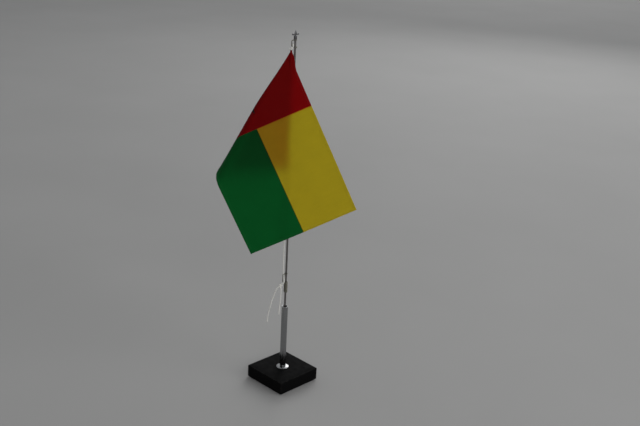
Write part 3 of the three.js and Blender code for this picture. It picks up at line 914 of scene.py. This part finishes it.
def clip_route(bottom, grip, bow):
    """Up the close turns, out to the bow, up its leg, back in and once more round the rod."""
    top = bottom + grip
    turns = (grip - WIRE) / (WIRE * 1.004)
    points = coil_points(-LEAVE - math.tau * turns, turns, bottom + WIRE / 2, top - WIRE / 2)
    low, high = top - WIRE / 2, top + bow + WIRE / 2
    points += [(x * MM, y * MM, low + z * MM) for x, y, z in BOW_LEAD]
    points += [(BOW_REACH + x, 0, low + z) for x, z in BOW_CORNER]
    points.append((BOW_REACH, 0, (low + high) / 2))
    points += [(BOW_REACH + x, 0, high - z) for x, z in reversed(BOW_CORNER)]
    points += [(x * MM, -y * MM, high - z * MM) for x, y, z in reversed(BOW_LEAD)]
    points += coil_points(LEAVE, RING_TURNS, high, high + LAST_RING - WIRE)
    return smooth_route([beside_rod(*p) for p in points], ROUTE_STEP)


def wire_clip(name, body, solid, grip, bow):
    route = clip_route(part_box(solid)[0].z, grip, bow)
    line = bpy.data.meshes.new(name)
    line.from_pydata([tuple(p) for p in route], [(i, i + 1) for i in range(len(route) - 1)], [])
    obj = grown(name, line, WIRE_TREE, {"Radius": 0.496 * WIRE, "Sides": 12, "Material": spring_wire})
    belongs(obj, body, solid)
    print(name, "takes", round(route_length(route) / MM), "mm of wire")


wire_clip("upper_wire_clip", "mast", "top_clip", UPPER_GRIP, UPPER_BOW)
wire_clip("lower_wire_clip", "clip", "lower_clip", LOWER_GRIP, LOWER_BOW)

# %% [markdown]
# ## The halyard and its knots
# A thin braided cord carries the flag. At the top it is knotted and looped over the upper clip's bow,
# in the middle it runs inside the flag's hem, and at the bottom it is led through the lower clip's bow
# and knotted again. A knot is drawn as a trefoil, which is the shape an overhand knot closes to: three
# crossings, pulled up until the cord lies against itself. It is swept with the same braid as the cord.

# %% Halyard
def middle_of(node_name):
    low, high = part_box(node_name)
    return (low + high) / 2


upper_low, upper_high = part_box("halyard_upper")
halyard_x = (upper_low.x + upper_high.x) / 2
halyard_y = (upper_low.y + upper_high.y) / 2
FLAG_TOP = upper_high.z
FLAG_HOIST = 0.140
FLAG_FLY = 0.210
KNOT_MIDDLE = middle_of("clip_knot")
TOP_MIDDLE = middle_of("top_knot")
KNOT_SPREAD = 2.6  # about half the width of the trefoil formula's outline
KNOT_STEPS = 150
KNOT_DEPTH = 0.48421  # how far the cord stands out at each crossing, in its own thicknesses
EYE_CORD = 2.95 * MM  # how far out the loops' cord passes through the bows
EYE_SIDE = 1.5 * MM
LED_SIDE = 1.7 * MM


def knot_mesh(name, middle, wide, tall, cord, turn):
    scale = (wide - cord) / 2 / KNOT_SPREAD
    stretch = (tall - cord) / (wide - cord)
    facing = Matrix.Rotation(turn, 3, "Z")
    route = []
    for i in range(KNOT_STEPS):
        t = math.tau * i / KNOT_STEPS
        across = scale * (math.sin(t) + 2 * math.sin(2 * t))
        up = stretch * scale * (math.cos(t) - 2 * math.cos(2 * t))
        route.append(middle + facing @ Vector((across, -KNOT_DEPTH * cord * math.sin(3 * t), up)))
    return swept(name, route, lambda d, a: braid_radius(d, a) * cord / CORD, 14, closed=True)


def corded(name, mesh, body, solid):
    belongs(piece(name, mesh, white_cord, sharp=False), body, solid)


def eye_route():
    """From the knot up one side, over the leg of the upper bow and down the other side."""
    foot = TOP_MIDDLE.z
    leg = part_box("top_clip")[0].z + UPPER_GRIP + WIRE / 2
    over = leg + 1.5 * MM
    half = [(4.9 * MM, 0.5 * MM, foot), (EYE_CORD + 1.1 * MM, 0.95 * MM, foot + 1.6 * MM),
            (EYE_CORD + 0.5 * MM, EYE_SIDE - 0.05 * MM, foot + 2.5 * MM),
            (EYE_CORD + 0.2 * MM, EYE_SIDE, leg), (EYE_CORD, 0.65 * EYE_SIDE, over - 0.4 * MM),
            (EYE_CORD, 0, over)]
    back = [(out, -across, height) for out, across, height in reversed(half[:-1])]
    return smooth_route([beside_rod(*p) for p in half + back], CORD_STEP)


def upper_route():
    count = round((TOP_MIDDLE.z - upper_low.z) / CORD_STEP)
    return [Vector((halyard_x, halyard_y, upper_low.z + i * CORD_STEP)) for i in range(count)]


def lower_route():
    """Straight down out of the hem, then through the lower bow and round its leg to the knot."""
    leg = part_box("lower_clip")[0].z + LOWER_GRIP + WIRE / 2
    upper, bottom = leg + LOWER_BOW, FLAG_TOP - FLAG_HOIST
    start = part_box("halyard_lower")[1].z - 0.2 * MM
    straight = [Vector((halyard_x, halyard_y, z)) for z in (start, bottom + 30 * MM, bottom - 4 * MM)]
    led = [(4.3 * MM, -LED_SIDE / 2, (bottom + upper) / 2), (EYE_CORD + 0.3 * MM, -LED_SIDE, upper + 2 * MM),
           (EYE_CORD, 0, leg + 5 * MM), (EYE_CORD + 0.5 * MM, LED_SIDE, leg),
           (EYE_CORD + 2 * MM, 0.7 * LED_SIDE, leg - 2 * MM)]
    end = KNOT_MIDDLE + MAST_TURN @ Vector((0.6 * MM, 0, 1.6 * MM))
    return smooth_route(straight + [beside_rod(*p) for p in led] + [end], CORD_STEP)


top_knot = knot_mesh("top_knot_braid", TOP_MIDDLE, 3.4 * MM, 2.3 * MM, 0.85 * MM, math.radians(44))
clip_knot = knot_mesh("clip_knot_braid", KNOT_MIDDLE, 4.6 * MM, 5.2 * MM, CORD, math.radians(60))
corded("eye_loop_braid", braided("eye_loop_braid", eye_route()), "mast", "eye_loop")
corded("halyard_upper_braid", braided("halyard_upper_braid", upper_route()), "mast", "halyard_upper")
corded("halyard_lower_braid", braided("halyard_lower_braid", lower_route()), "clip", "halyard_lower")
corded("top_knot_braid", top_knot, "mast", "top_knot")
corded("clip_knot_braid", clip_knot, "clip", "clip_knot")

# %% [markdown]
# ## How the flag hangs
# There is no wind, so the outer part of the flag drops. It folds along a line from the top corner at
# the mast, and both layers hang in straight lines from that corner, as a paper cone does. Only a short
# bend at the corner differs. Each direction of the flat cloth is carried over a sphere along three
# arcs, so that nothing is stretched: a great circle for the front layer, a tight circle for the fold
# and a wide one for the back. A cloth simulation gives the same kind of shape, but not this one, and it
# wouldn't match the solid that stands for it.

# %% Shape of the hanging cloth
FRONT_SPAN = math.radians(49.5)
FOLD_RADIUS = math.radians(3.8)
FOLD_SPAN = math.radians(134.08) * math.sin(FOLD_RADIUS)
BACK_RADIUS = math.radians(16.36)
FLAG_TURN = math.radians(68)
CORNER_TRIM = 5 * MM
CORNER_RELAX = 28 * MM  # how far from the held corner the cloth has bent to its free shape: top edge
FOLD_RELAX = 80 * MM  # and at the fold
CORNER_PULL = Vector((4.2, 2.4, 0)) * MM


def eased(value, low, high):
    t = min(max((value - low) / (high - low), 0), 1)
    return t * t * (3 - 2 * t)


def arc_step(line, along, length, radius):
    """Goes a length along an arc of the sphere, of the given angular radius or of a great circle."""
    side = line.cross(along)
    if radius is None:
        axis, turn = side, length
    else:
        axis, turn = side * math.sin(radius) + line * math.cos(radius), length / math.sin(radius)
    spin = Quaternion(axis, turn)
    return spin @ line, spin @ along


def unplaced_line(angle):
    line, along = arc_step(Vector((1, 0, 0)), Vector((0, 1, 0)), min(angle, FRONT_SPAN), None)
    if angle > FRONT_SPAN:
        line, along = arc_step(line, along, min(angle - FRONT_SPAN, FOLD_SPAN), FOLD_RADIUS)
    if angle > FRONT_SPAN + FOLD_SPAN:
        line, along = arc_step(line, along, angle - FRONT_SPAN - FOLD_SPAN, BACK_RADIUS)
    return line, along


HOIST_DOWN = unplaced_line(math.pi / 2)[0].rotation_difference(Vector((0, 0, -1)))
FLAG_FACING = Quaternion((0, 0, 1), FLAG_TURN) @ HOIST_DOWN
FLAG_CORNER = Vector((halyard_x, halyard_y, FLAG_TOP))


def cloth_place(u, v):
    """Where a point of the flat cloth hangs, and the way its front faces there."""
    distance, angle = math.hypot(u, v), math.atan2(v, u)
    line, along = unplaced_line(angle)
    relaxed = CORNER_RELAX + (FOLD_RELAX - CORNER_RELAX) * min(angle / FRONT_SPAN, 1)
    opened = eased(distance, CORNER_TRIM, relaxed)
    towards_hoist = eased(angle, FRONT_SPAN + FOLD_SPAN, math.pi / 2)
    flat = FLAG_FACING @ (line * distance) - CORNER_PULL * opened * (1 - towards_hoist)
    return MAST_TURN @ flat + FLAG_CORNER, MAST_TURN @ (FLAG_FACING @ along.cross(line))


tip, _ = cloth_place(FLAG_FLY, 0)
print("the flag's outer top corner hangs at", [round(v / MM, 1) for v in tip], "mm")

# %% [markdown]
# ## The flag's cloth
# The cloth is a grid on the flat flag, carried to its hanging place point by point. It is closed, with
# a front, a back and an edge. The hems are folded double there, so the grid is thicker along the three
# free sides and pulled into small puckers by the stitching. Each point keeps its place on the flat
# cloth as its UV, and the colours and the weave are drawn from that.

#
# The fold hangs a red layer behind the yellow one, and the light that comes through both is browned.
# This is painted shade: a ray from each point of the front layer finds what hangs behind it and how far
# away, and the answer is kept with the points as an attribute, softened, and the finish below paints it
# into the colour.

# %% Cloth mesh
CLOTH = 0.22 * MM
HEM = 3.4 * MM
HEM_EXTRA = 0.26 * MM
CELL = 1.6 * MM
FINE_CELLS = ((24 * MM, 0.45 * MM), (48 * MM, 0.8 * MM))  # near the gathered corner the fold is tight
HEM_WALL = 0.3 * MM
FIELD_EDGE = 0.070  # how far the red field reaches from the hoist, and the yellow one from the top
# The painted shade from the red layer behind: the gap it fades over, where its ray starts, how much it is
# softened.
PAINTED_SHADE_REACH = 60 * MM  # the gap over which a layer behind fades from sight, and how far a ray looks
PAINTED_SHADE_START = 1.5 * MM
PAINTED_SHADE_SOFTENING = 22
RIM_LINE = 0.3 * MM  # the grid has a line this far from a free edge, where the cloth is thinned
RIM_THINNING = 0.55
HEM_STEP = 0.35 * MM
HEM_OUTER = 1.5 * MM
HEM_SIDES = 24
HEM_RINGS = 92
HEM_GATHER = 0.3  # how much narrower the hem is at the top knot, and over what length
GATHER_LENGTH = 9 * MM
HEM_UNEVEN = 0.03 * MM
SWELLS = [(0.55, 0.031, 0.052, 0.0), (0.35, -0.067, 0.023, 1.3)]  # height in mm, lengths along u and v, phase
PUCKER = 0.11
PUCKER_LENGTH = 1.35 * MM


def grid_lines(size, both_hems):
    lines = [0.0, RIM_LINE, HEM / 2, HEM - HEM_STEP, HEM] if both_hems else [0.0]
    for reach, cell in (*FINE_CELLS, (size - HEM, CELL)):
        start = lines[-1]
        count = round((reach - start) / cell)
        lines += [start + (reach - start) * i / count for i in range(1, count + 1)]
    return lines + [size - HEM + HEM_STEP, size - HEM / 2, size - RIM_LINE, size]


def edge_distance(u, v):
    return min(v, FLAG_HOIST - v, FLAG_FLY - u)


def half_thickness(u, v):
    share = 1 - eased(edge_distance(u, v), HEM - HEM_STEP, HEM + 0.05 * MM)
    return (CLOTH + HEM_EXTRA * share) / 2


def ripple(u, v):
    """How far the cloth stands out of its smooth shape: two long swells, and puckers at the hems."""
    free = eased(u, 25 * MM, 120 * MM) * eased(math.hypot(u, v), 40 * MM, 130 * MM)
    swell = sum(height * math.sin(u / along + v / down + phase) for height, along, down, phase in SWELLS)
    sewn = (1 - eased(edge_distance(u, v), 3 * MM, 9 * MM)) * eased(u, 8 * MM, 20 * MM)
    return (free * swell + PUCKER * sewn * math.sin((u + 1.07 * v) / PUCKER_LENGTH)) * MM


def rippled_place(u, v):
    place, facing = cloth_place(u, v)
    return place + facing * ripple(u, v), facing


def with_places(mesh, places):
    """Gives each point of a mesh its place on the flat cloth, as UV."""
    layer = mesh.uv_layers.new(name="UVMap")
    for loop in mesh.loops:
        layer.data[loop.index].uv = places[loop.vertex_index]
    return mesh


def cloth_mesh():
    us, vs = grid_lines(FLAG_FLY, False), grid_lines(FLAG_HOIST, True)
    rows, columns = len(vs), len(us)
    front, back = [], []
    for v in vs:
        for u in us:
            place, facing = rippled_place(u, v)
            half = half_thickness(u, v) * (RIM_THINNING if edge_distance(u, v) < 0.1 * MM else 1)
            front.append(place + facing * half)
            back.append(place - facing * half)
    count = rows * columns
    faces = []
    for j in range(rows - 1):
        for i in range(columns - 1):
            a = j * columns + i
            faces.append((a, a + 1, a + 1 + columns, a + columns))
            faces.append((count + a, count + a + columns, count + a + 1 + columns, count + a + 1))
    rim = list(range(columns)) + [j * columns + columns - 1 for j in range(1, rows)]
    rim += [(rows - 1) * columns + i for i in range(columns - 2, -1, -1)]
    rim += [j * columns for j in range(rows - 2, 0, -1)]
    for a, b in zip(rim, rim[1:] + rim[:1]):
        faces.append((a, count + a, count + b, b))
    mesh = bpy.data.meshes.new("cloth")
    mesh.from_pydata([tuple(p) for p in front + back], [], faces)
    places = [(u / FLAG_FLY, 1 - v / FLAG_HOIST) for v in vs for u in us] * 2
    return paint_back_layer_shade(with_places(mesh, places), us, vs)


def paint_back_layer_shade(mesh, us, vs):
    """Paints shade on the front layer where red cloth hangs close behind it, fading as the gap grows."""
    rows, columns = len(vs), len(us)
    count = rows * columns
    skin = BVHTree.FromPolygons([v.co for v in mesh.vertices], [p.vertices for p in mesh.polygons])
    marks = [0.0] * len(mesh.vertices)
    for j, v in enumerate(vs):
        for i, u in enumerate(us):
            if math.atan2(v, u) > FRONT_SPAN:
                continue
            place, facing = cloth_place(u, v)
            hit, _, face, gap = skin.ray_cast(place - facing * PAINTED_SHADE_START, -facing, PAINTED_SHADE_REACH)
            if hit is None:
                continue
            behind = min(mesh.polygons[face].vertices) % count
            red = 1 - eased(us[behind % columns], FIELD_EDGE - CELL, FIELD_EDGE + CELL)
            marks[j * columns + i] = marks[count + j * columns + i] = red * math.exp(-gap / PAINTED_SHADE_REACH)
    for _ in range(PAINTED_SHADE_SOFTENING):
        soft = marks[:count]
        for j in range(1, rows - 1):
            for i in range(1, columns - 1):
                k = j * columns + i
                beside = marks[k - 1] + marks[k + 1] + marks[k - columns] + marks[k + columns]
                soft[k] = (beside + 2 * marks[k]) / 6
        marks = soft + soft
    layer = mesh.attributes.new("painted_back_shade", "FLOAT", "POINT")
    layer.data.foreach_set("value", marks)
    return mesh


def hem_tube():
    """The hem along the hoist, a tube of cloth round the cord, gathered where it ends at the knot."""
    points, places, faces = [], [], []
    for i in range(HEM_RINGS + 1):
        z = FLAG_TOP - FLAG_HOIST * i / HEM_RINGS
        gathered = 1 - HEM_GATHER * (1 - eased(FLAG_TOP - z, 0, GATHER_LENGTH))
        for wall, uneven in ((0, HEM_UNEVEN), (HEM_WALL, 0)):
            radius = HEM_OUTER * gathered - wall * gathered
            for j in range(HEM_SIDES):
                angle = math.tau * j / HEM_SIDES
                size = radius + uneven * math.sin(5 * angle + i * 0.9)
                points.append(Vector((halyard_x, halyard_y, z))
                              + Vector((math.cos(angle), math.sin(angle), 0)) * size)
                places.append((0.008 + 0.03 * j / HEM_SIDES, 1 - i / HEM_RINGS))
    for i in range(HEM_RINGS):
        here, there = i * 2 * HEM_SIDES, (i + 1) * 2 * HEM_SIDES
        faces += [(a, d, c, b) for a, b, c, d in band(here, there, HEM_SIDES)]
        faces += band(here + HEM_SIDES, there + HEM_SIDES, HEM_SIDES)
    bottom = HEM_RINGS * 2 * HEM_SIDES
    faces += band(0, HEM_SIDES, HEM_SIDES)
    faces += [tuple(reversed(face)) for face in band(bottom, bottom + HEM_SIDES, HEM_SIDES)]
    mesh = bpy.data.meshes.new("hem")
    mesh.from_pydata([tuple(p) for p in points], [], faces)
    return with_places(mesh, places)


# %% [markdown]
# ## The flag's colours
# The cloth is dyed red down the hoist, yellow over green beyond it, with a black star in the red. It is
# drawn by comparing the flat place of each point with the lines between the fields. The star takes its
# direction from the middle, folds the five points into one by a modulo, and tests against one straight
# edge. The group puts out the colour only, and both the cloth and the sewing thread use it.

# %% Colours of the flag
RED = (0.30, 0.0, 0.001, 1)
YELLOW = (0.58, 0.46, 0.018, 1)
GREEN = (0.002, 0.135, 0.024, 1)
BLACK = (0.010, 0.010, 0.011, 1)
ORANGE_SEAM = (0.55, 0.16, 0.006, 1)
DARK_SEAM = (0.03, 0.06, 0.008, 1)
SEAM_HALF = 0.35 * MM
STAR_RADIUS = 0.019
STAR_INNER = 0.382  # the star's inner corners, as a share of its points' radius
DYE_EDGE = 0.2 * MM


def build_colour_group():
    group, given, out = shader_group("flag colours", [("Place", "NodeSocketVector", None)],
                                     [("Color", "NodeSocketColor")])
    apart = node(group, "ShaderNodeSeparateXYZ", {0: given.outputs["Place"]})
    u, v = apart.outputs[0], apart.outputs[1]

    def calc(operation, *values):
        return math_of(group, operation, *values)

    def past(value, line):
        return map_range(group, value, line - DYE_EDGE, line + DYE_EDGE)

    def near(value, line):
        return calc("LESS_THAN", calc("ABSOLUTE", calc("SUBTRACT", value, line)), SEAM_HALF)

    right, down = past(u, FIELD_EDGE), past(v, FIELD_EDGE)
    x, y = calc("SUBTRACT", u, FIELD_EDGE / 2), calc("SUBTRACT", FIELD_EDGE, v)
    far = calc("SQRT", calc("ADD", calc("MULTIPLY", x, x), calc("MULTIPLY", y, y)))
    turn = calc("ADD", calc("ARCTAN2", x, y), math.pi / 5 + math.tau)
    wedge = calc("ABSOLUTE", calc("SUBTRACT", calc("MODULO", turn, math.tau / 5), math.pi / 5))
    inner = STAR_RADIUS * STAR_INNER
    lean_x, lean_y = inner * math.sin(math.pi / 5), STAR_RADIUS - inner * math.cos(math.pi / 5)
    size = math.hypot(lean_x, lean_y)
    outwards = calc("SUBTRACT", calc("MULTIPLY", far, calc("COSINE", wedge)), STAR_RADIUS)
    across = calc("MULTIPLY", far, calc("SINE", wedge))
    over_edge = calc("MULTIPLY_ADD", outwards, lean_x / size, calc("MULTIPLY", across, lean_y / size))
    hoist = blend(group, past(over_edge, 0.0), BLACK, RED)
    fly = blend(group, near(v, FIELD_EDGE), blend(group, down, YELLOW, GREEN), DARK_SEAM)
    orange = calc("MULTIPLY", near(u, FIELD_EDGE + SEAM_HALF), calc("SUBTRACT", 1.0, down))
    fields = blend(group, orange, blend(group, right, hoist, fly), ORANGE_SEAM)
    group.links.new(fields, out.inputs["Color"])
    return group


COLOURS = build_colour_group()
print("colour group with", len(COLOURS.nodes), "nodes")

# %% [markdown]
# ## The flag's finish
# The cloth is a thin polyester weave that lets light through, so a Translucent shader is mixed half and
# half with the usual one. Light passes two faces of the closed mesh, its front and its back, so each
# face takes the square root of the colour, a Gamma of one half. Where the red layer hangs close behind,
# a pale red tint is multiplied into the colour and browns the yellow: painted shade, for the light that
# the red layer filters. The weave is two sets of fine bands, one for each thread, taken as bump and, in
# the colour, as painted shade that is darker where the bands are low. Long soft noise adds the
# cloudiness that a thin cloth always has.

# %% Cloth material
THREADS = 2600.0
# Painted shade: a pale red tint where the red layer hangs behind, for the light that it filters.
PAINTED_SHADE_TINT = (0.95, 0.60, 0.60, 1)
NO_PAINTED_SHADE = (1, 1, 1, 1)
ONE_FACE = 0.5  # the Gamma for light that has two faces to pass


def dyed_colour(tree, place):
    """The flag's colour at a place of the flat cloth, given in metres from its held corner."""
    return node(tree, "ShaderNodeGroup", {"Place": place}, node_tree=COLOURS).outputs[0]


def cloth_material():
    made, tree, shader = material("flag_cloth", (0.3, 0.0, 0.0), 0.62, sheen=0.03)
    shader.inputs["Specular IOR Level"].default_value = 0.12
    uv = node(tree, "ShaderNodeUVMap", uv_map="UVMap").outputs[0]
    place = node(tree, "ShaderNodeMapping", {"Vector": uv, "Location": (0, FLAG_HOIST, 0),
                                             "Scale": (FLAG_FLY, -FLAG_HOIST, 1)}).outputs[0]
    apart = node(tree, "ShaderNodeSeparateXYZ", {0: place})
    bands = [math_of(tree, "SINE", math_of(tree, "MULTIPLY", apart.outputs[axis], THREADS * math.tau))
             for axis in (0, 1)]
    weave = math_of(tree, "MULTIPLY_ADD", math_of(tree, "MULTIPLY", bands[0], bands[1]), 0.5, 0.5)
    drawn_out = node(tree, "ShaderNodeMapping", {"Vector": place, "Scale": (1, 0.04, 1)}).outputs[0]
    slub = noise_of(tree, drawn_out, 1400.0, 3.0)
    level = 0.75
    # The weave term darkens the colour where its bands are low: painted shade in the weave's hollows. The
    # slub and the soft cloud are the cloth's own uneven tone.
    for pattern, share in ((noise_of(tree, place, 60.0, 5.0, 0.6), 0.16), (slub, 0.14), (weave, 0.20)):
        level = math_of(tree, "MULTIPLY_ADD", pattern, share, level)
    # The painted shade from the red layer behind, multiplied into the dyed colour.
    behind = node(tree, "ShaderNodeAttribute", attribute_name="painted_back_shade").outputs["Fac"]
    with_painted_shade = node(tree, "ShaderNodeVectorMath", {0: dyed_colour(tree, place),
                                                 1: blend(tree, behind, NO_PAINTED_SHADE, PAINTED_SHADE_TINT)},
                  operation="MULTIPLY").outputs[0]
    colour = scaled(tree, with_painted_shade, level)
    tree.links.new(colour, shader.inputs["Base Color"])
    height = math_of(tree, "ADD", math_of(tree, "MULTIPLY", weave, 0.6), math_of(tree, "MULTIPLY", slub, 0.4))
    bump = add_bump(tree, shader, height, 0.6, 0.0002)
    add_marks(tree, shader, place, 90, 0.52, 0.70)
    one_face = node(tree, "ShaderNodeGamma", {"Color": colour, "Gamma": ONE_FACE}).outputs[0]
    through = node(tree, "ShaderNodeBsdfTranslucent", {"Color": one_face, "Normal": bump.outputs[0]})
    both = node(tree, "ShaderNodeMixShader", {0: 0.5, 1: shader.outputs[0], 2: through.outputs[0]})
    tree.links.new(both.outputs[0], tree.nodes["Material Output"].inputs["Surface"])
    return made


def thread_material():
    made, tree, shader = material("sewing_thread", (0.3, 0.0, 0.0), 0.55, sheen=0.2)
    place = node(tree, "ShaderNodeAttribute", attribute_name="flat_place").outputs["Vector"]
    noise = noise_of(tree, object_place(tree), 5000.0, 2.0)
    level = math_of(tree, "MULTIPLY_ADD", noise, 0.35, 0.8)
    tree.links.new(scaled(tree, dyed_colour(tree, place), level), shader.inputs["Base Color"])
    add_bump(tree, shader, noise, 0.4, 0.00005)
    return made


flag_finish = cloth_material()
thread_finish = thread_material()
flag_mesh = joined("flag_cloth_sheet", [cloth_mesh(), hem_tube()])
flag = piece("flag_cloth_sheet", flag_mesh, flag_finish, sharp=False)
flag.data.set_sharp_from_angle(angle=math.radians(70))
print("cloth", [round(v / MM, 1) for v in flag.dimensions], "mm,", len(flag.data.polygons), "faces")

# %% [markdown]
# ## Stitches
# The hems are sewn with a plain lock stitch, a row of short thread ends that lie on both faces of the
# cloth. The rows are worked out on the flat cloth and carried to its hanging place. A tree then stands
# one small stitch on every point, turned along its row and flat to the cloth.

# %% Stitch tree
STITCH_PITCH = 2.6 * MM
STITCH_LENGTH = 2.0 * MM
STITCH_WIDTH = 0.34 * MM
STITCH_HEIGHT = 0.22 * MM
STITCH_FACES = 30
ROW_INSET = HEM - 0.9 * MM
ROW_START = 14 * MM


def build_stitch_tree():
    tree, given, out = geometry_tree("lock stitch", [
        ("Length", "NodeSocketFloat", STITCH_LENGTH), ("Width", "NodeSocketFloat", STITCH_WIDTH),
        ("Height", "NodeSocketFloat", STITCH_HEIGHT)])
    points = node(tree, "GeometryNodeMeshToPoints", {"Mesh": given.outputs["Geometry"]})
    stitch = node(tree, "GeometryNodeMeshUVSphere", {"Segments": 6, "Rings": 5, "Radius": 0.5})
    size = node(tree, "ShaderNodeCombineXYZ", {
        0: given.outputs["Length"], 1: given.outputs["Width"], 2: given.outputs["Height"]})
    read = []
    for name in ("row", "face"):
        stored = node(tree, "GeometryNodeInputNamedAttribute", {"Name": name}, data_type="FLOAT_VECTOR")
        read.append(stored.outputs["Attribute"])
    turn = node(tree, "FunctionNodeAxesToRotation", {"Primary Axis": read[0], "Secondary Axis": read[1]},
                primary_axis="X", secondary_axis="Z")
    sewn = node(tree, "GeometryNodeInstanceOnPoints", {
        "Points": points.outputs[0], "Instance": stitch.outputs["Mesh"],
        "Rotation": turn.outputs[0], "Scale": size.outputs[0]})
    close_tree(tree, given, out, sewn.outputs[0])
    return tree


def stitch_rows():
    """The corners of the sewn line on the flat cloth, taken two by two."""
    right, low, left = FLAG_FLY - ROW_INSET, FLAG_HOIST - ROW_INSET, ROW_START * 0.45
    corners = [(ROW_START, ROW_INSET), (right, ROW_INSET), (right, low), (left, low), (left, ROW_START)]
    return list(zip(corners, corners[1:]))


def stitch_points():
    places, rows, facings, flats = [], [], [], []
    for (u0, v0), (u1, v1) in stitch_rows():
        length = math.hypot(u1 - u0, v1 - v0)
        count = int(length / STITCH_PITCH)
        for i in range(count):
            t, step = (i + 0.5) / count, 0.2 * MM / length
            u, v = u0 + (u1 - u0) * t, v0 + (v1 - v0) * t
            here, facing = cloth_place(u, v)
            ahead, _ = cloth_place(u + (u1 - u0) * step, v + (v1 - v0) * step)
            lift = half_thickness(u, v) + 0.02 * MM
            for side in (1, -1):
                places.append(tuple(here + facing * ripple(u, v) + facing * side * lift))
                rows.append(tuple((ahead - here).normalized()))
                facings.append(tuple(facing * side))
                flats.append((u, v, 0))
    mesh = bpy.data.meshes.new("flag_stitches")
    mesh.from_pydata(places, [], [])
    for name, values in (("row", rows), ("face", facings), ("flat_place", flats)):
        layer = mesh.attributes.new(name, "FLOAT_VECTOR", "POINT")
        layer.data.foreach_set("vector", [c for value in values for c in value])
    return mesh


stitches = grown("flag_stitches", stitch_points(), build_stitch_tree(), {"Material": thread_finish})
print("stitches:", len(stitches.data.polygons) // STITCH_FACES, "in", len(stitch_rows()), "rows")

# %% Hang the flag on its body
for obj in (flag, stitches):
    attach(obj, "flag")
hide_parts("flag_cloth")

# %% [markdown]
# ## Floor and light
# The stand is on a plain grey floor that runs back out of sight. Four wide soft lights stand round it:
# a window at the right, a fill from the viewer's side, one behind that shines through the cloth, and one
# far back for the floor. The room's own light is weaker on the viewer's side, so the chrome, which shows
# only what is round it, has a dark part as well as a bright one.

# %% Floor
FLOOR_REACH = 8.0
FLOOR_SIDES = 96


def floor_material():
    made, tree, shader = material("pale_floor", (0.37, 0.367, 0.362), 0.85)
    noise = noise_of(tree, object_place(tree), 3.0, 3.0)
    tint = blend(tree, noise, (0.35, 0.347, 0.342, 1), (0.395, 0.392, 0.387, 1))
    tree.links.new(tint, shader.inputs["Base Color"])
    return made


floor_turns = [math.tau * i / FLOOR_SIDES for i in range(FLOOR_SIDES)]
rim = [Vector((FLOOR_REACH * math.cos(turn), FLOOR_REACH * math.sin(turn), 0)) for turn in floor_turns]
floor_mesh = mesh_from("floor", rim, [tuple(range(FLOOR_SIDES))])
floor = piece("floor", floor_mesh, floor_material(), sharp=False)
print("floor of", 2 * FLOOR_REACH, "m across")

# %% Lights
ROOM_BRIGHT = 0.50
ROOM_DARK = 0.10
ROOM_COLOUR = (0.96, 0.98, 1.0, 1)
LIT_POINT = Vector((0, 0, 0.2))


def from_camera(side, towards, height):
    """A point or direction, measured to the camera's right, towards the camera, and up."""
    return Matrix.Rotation(VIEW_TURN, 3, "Z") @ Vector((side, -towards, height))


def soft_light(name, place, size, power):
    data = bpy.data.lights.new(name, "AREA")
    data.shape = "DISK"
    data.size = size
    data.energy = power
    light = bpy.data.objects.new(name, data)
    aim = (LIT_POINT - place).to_track_quat("-Z", "Y").to_matrix().to_4x4()
    light.matrix_world = Matrix.Translation(place) @ aim
    bpy.context.scene.collection.objects.link(light)
    print(name, "of", power, "W at", [round(v, 2) for v in place])


def room_light():
    world = bpy.data.worlds.new("room")
    world.use_nodes = True
    tree, background = world.node_tree, world.node_tree.nodes["Background"]
    direction = node(tree, "ShaderNodeTexCoord").outputs["Generated"]
    viewer_side = from_camera(0, 1, 0.25).normalized()
    share = node(tree, "ShaderNodeVectorMath", {0: direction, 1: viewer_side}, operation="DOT_PRODUCT")
    glow = map_range(tree, share.outputs["Value"], -0.5, 0.9, ROOM_BRIGHT, ROOM_DARK,
                     interpolation_type="SMOOTHSTEP")
    tree.links.new(glow, background.inputs["Strength"])
    background.inputs["Color"].default_value = ROOM_COLOUR
    bpy.context.scene.world = world


soft_light("right_window", from_camera(2.0, 0.9, 1.5), 1.6, 14)
soft_light("front_fill", from_camera(0.5, 2.4, 1.2), 1.6, 16)
soft_light("back_glow", from_camera(0.9, -2.2, 1.6), 2.4, 16)
soft_light("far_glow", from_camera(1.5, -6.0, 3.2), 3.0, 60)
room_light()
bpy.context.scene.view_settings.view_transform = "Standard"
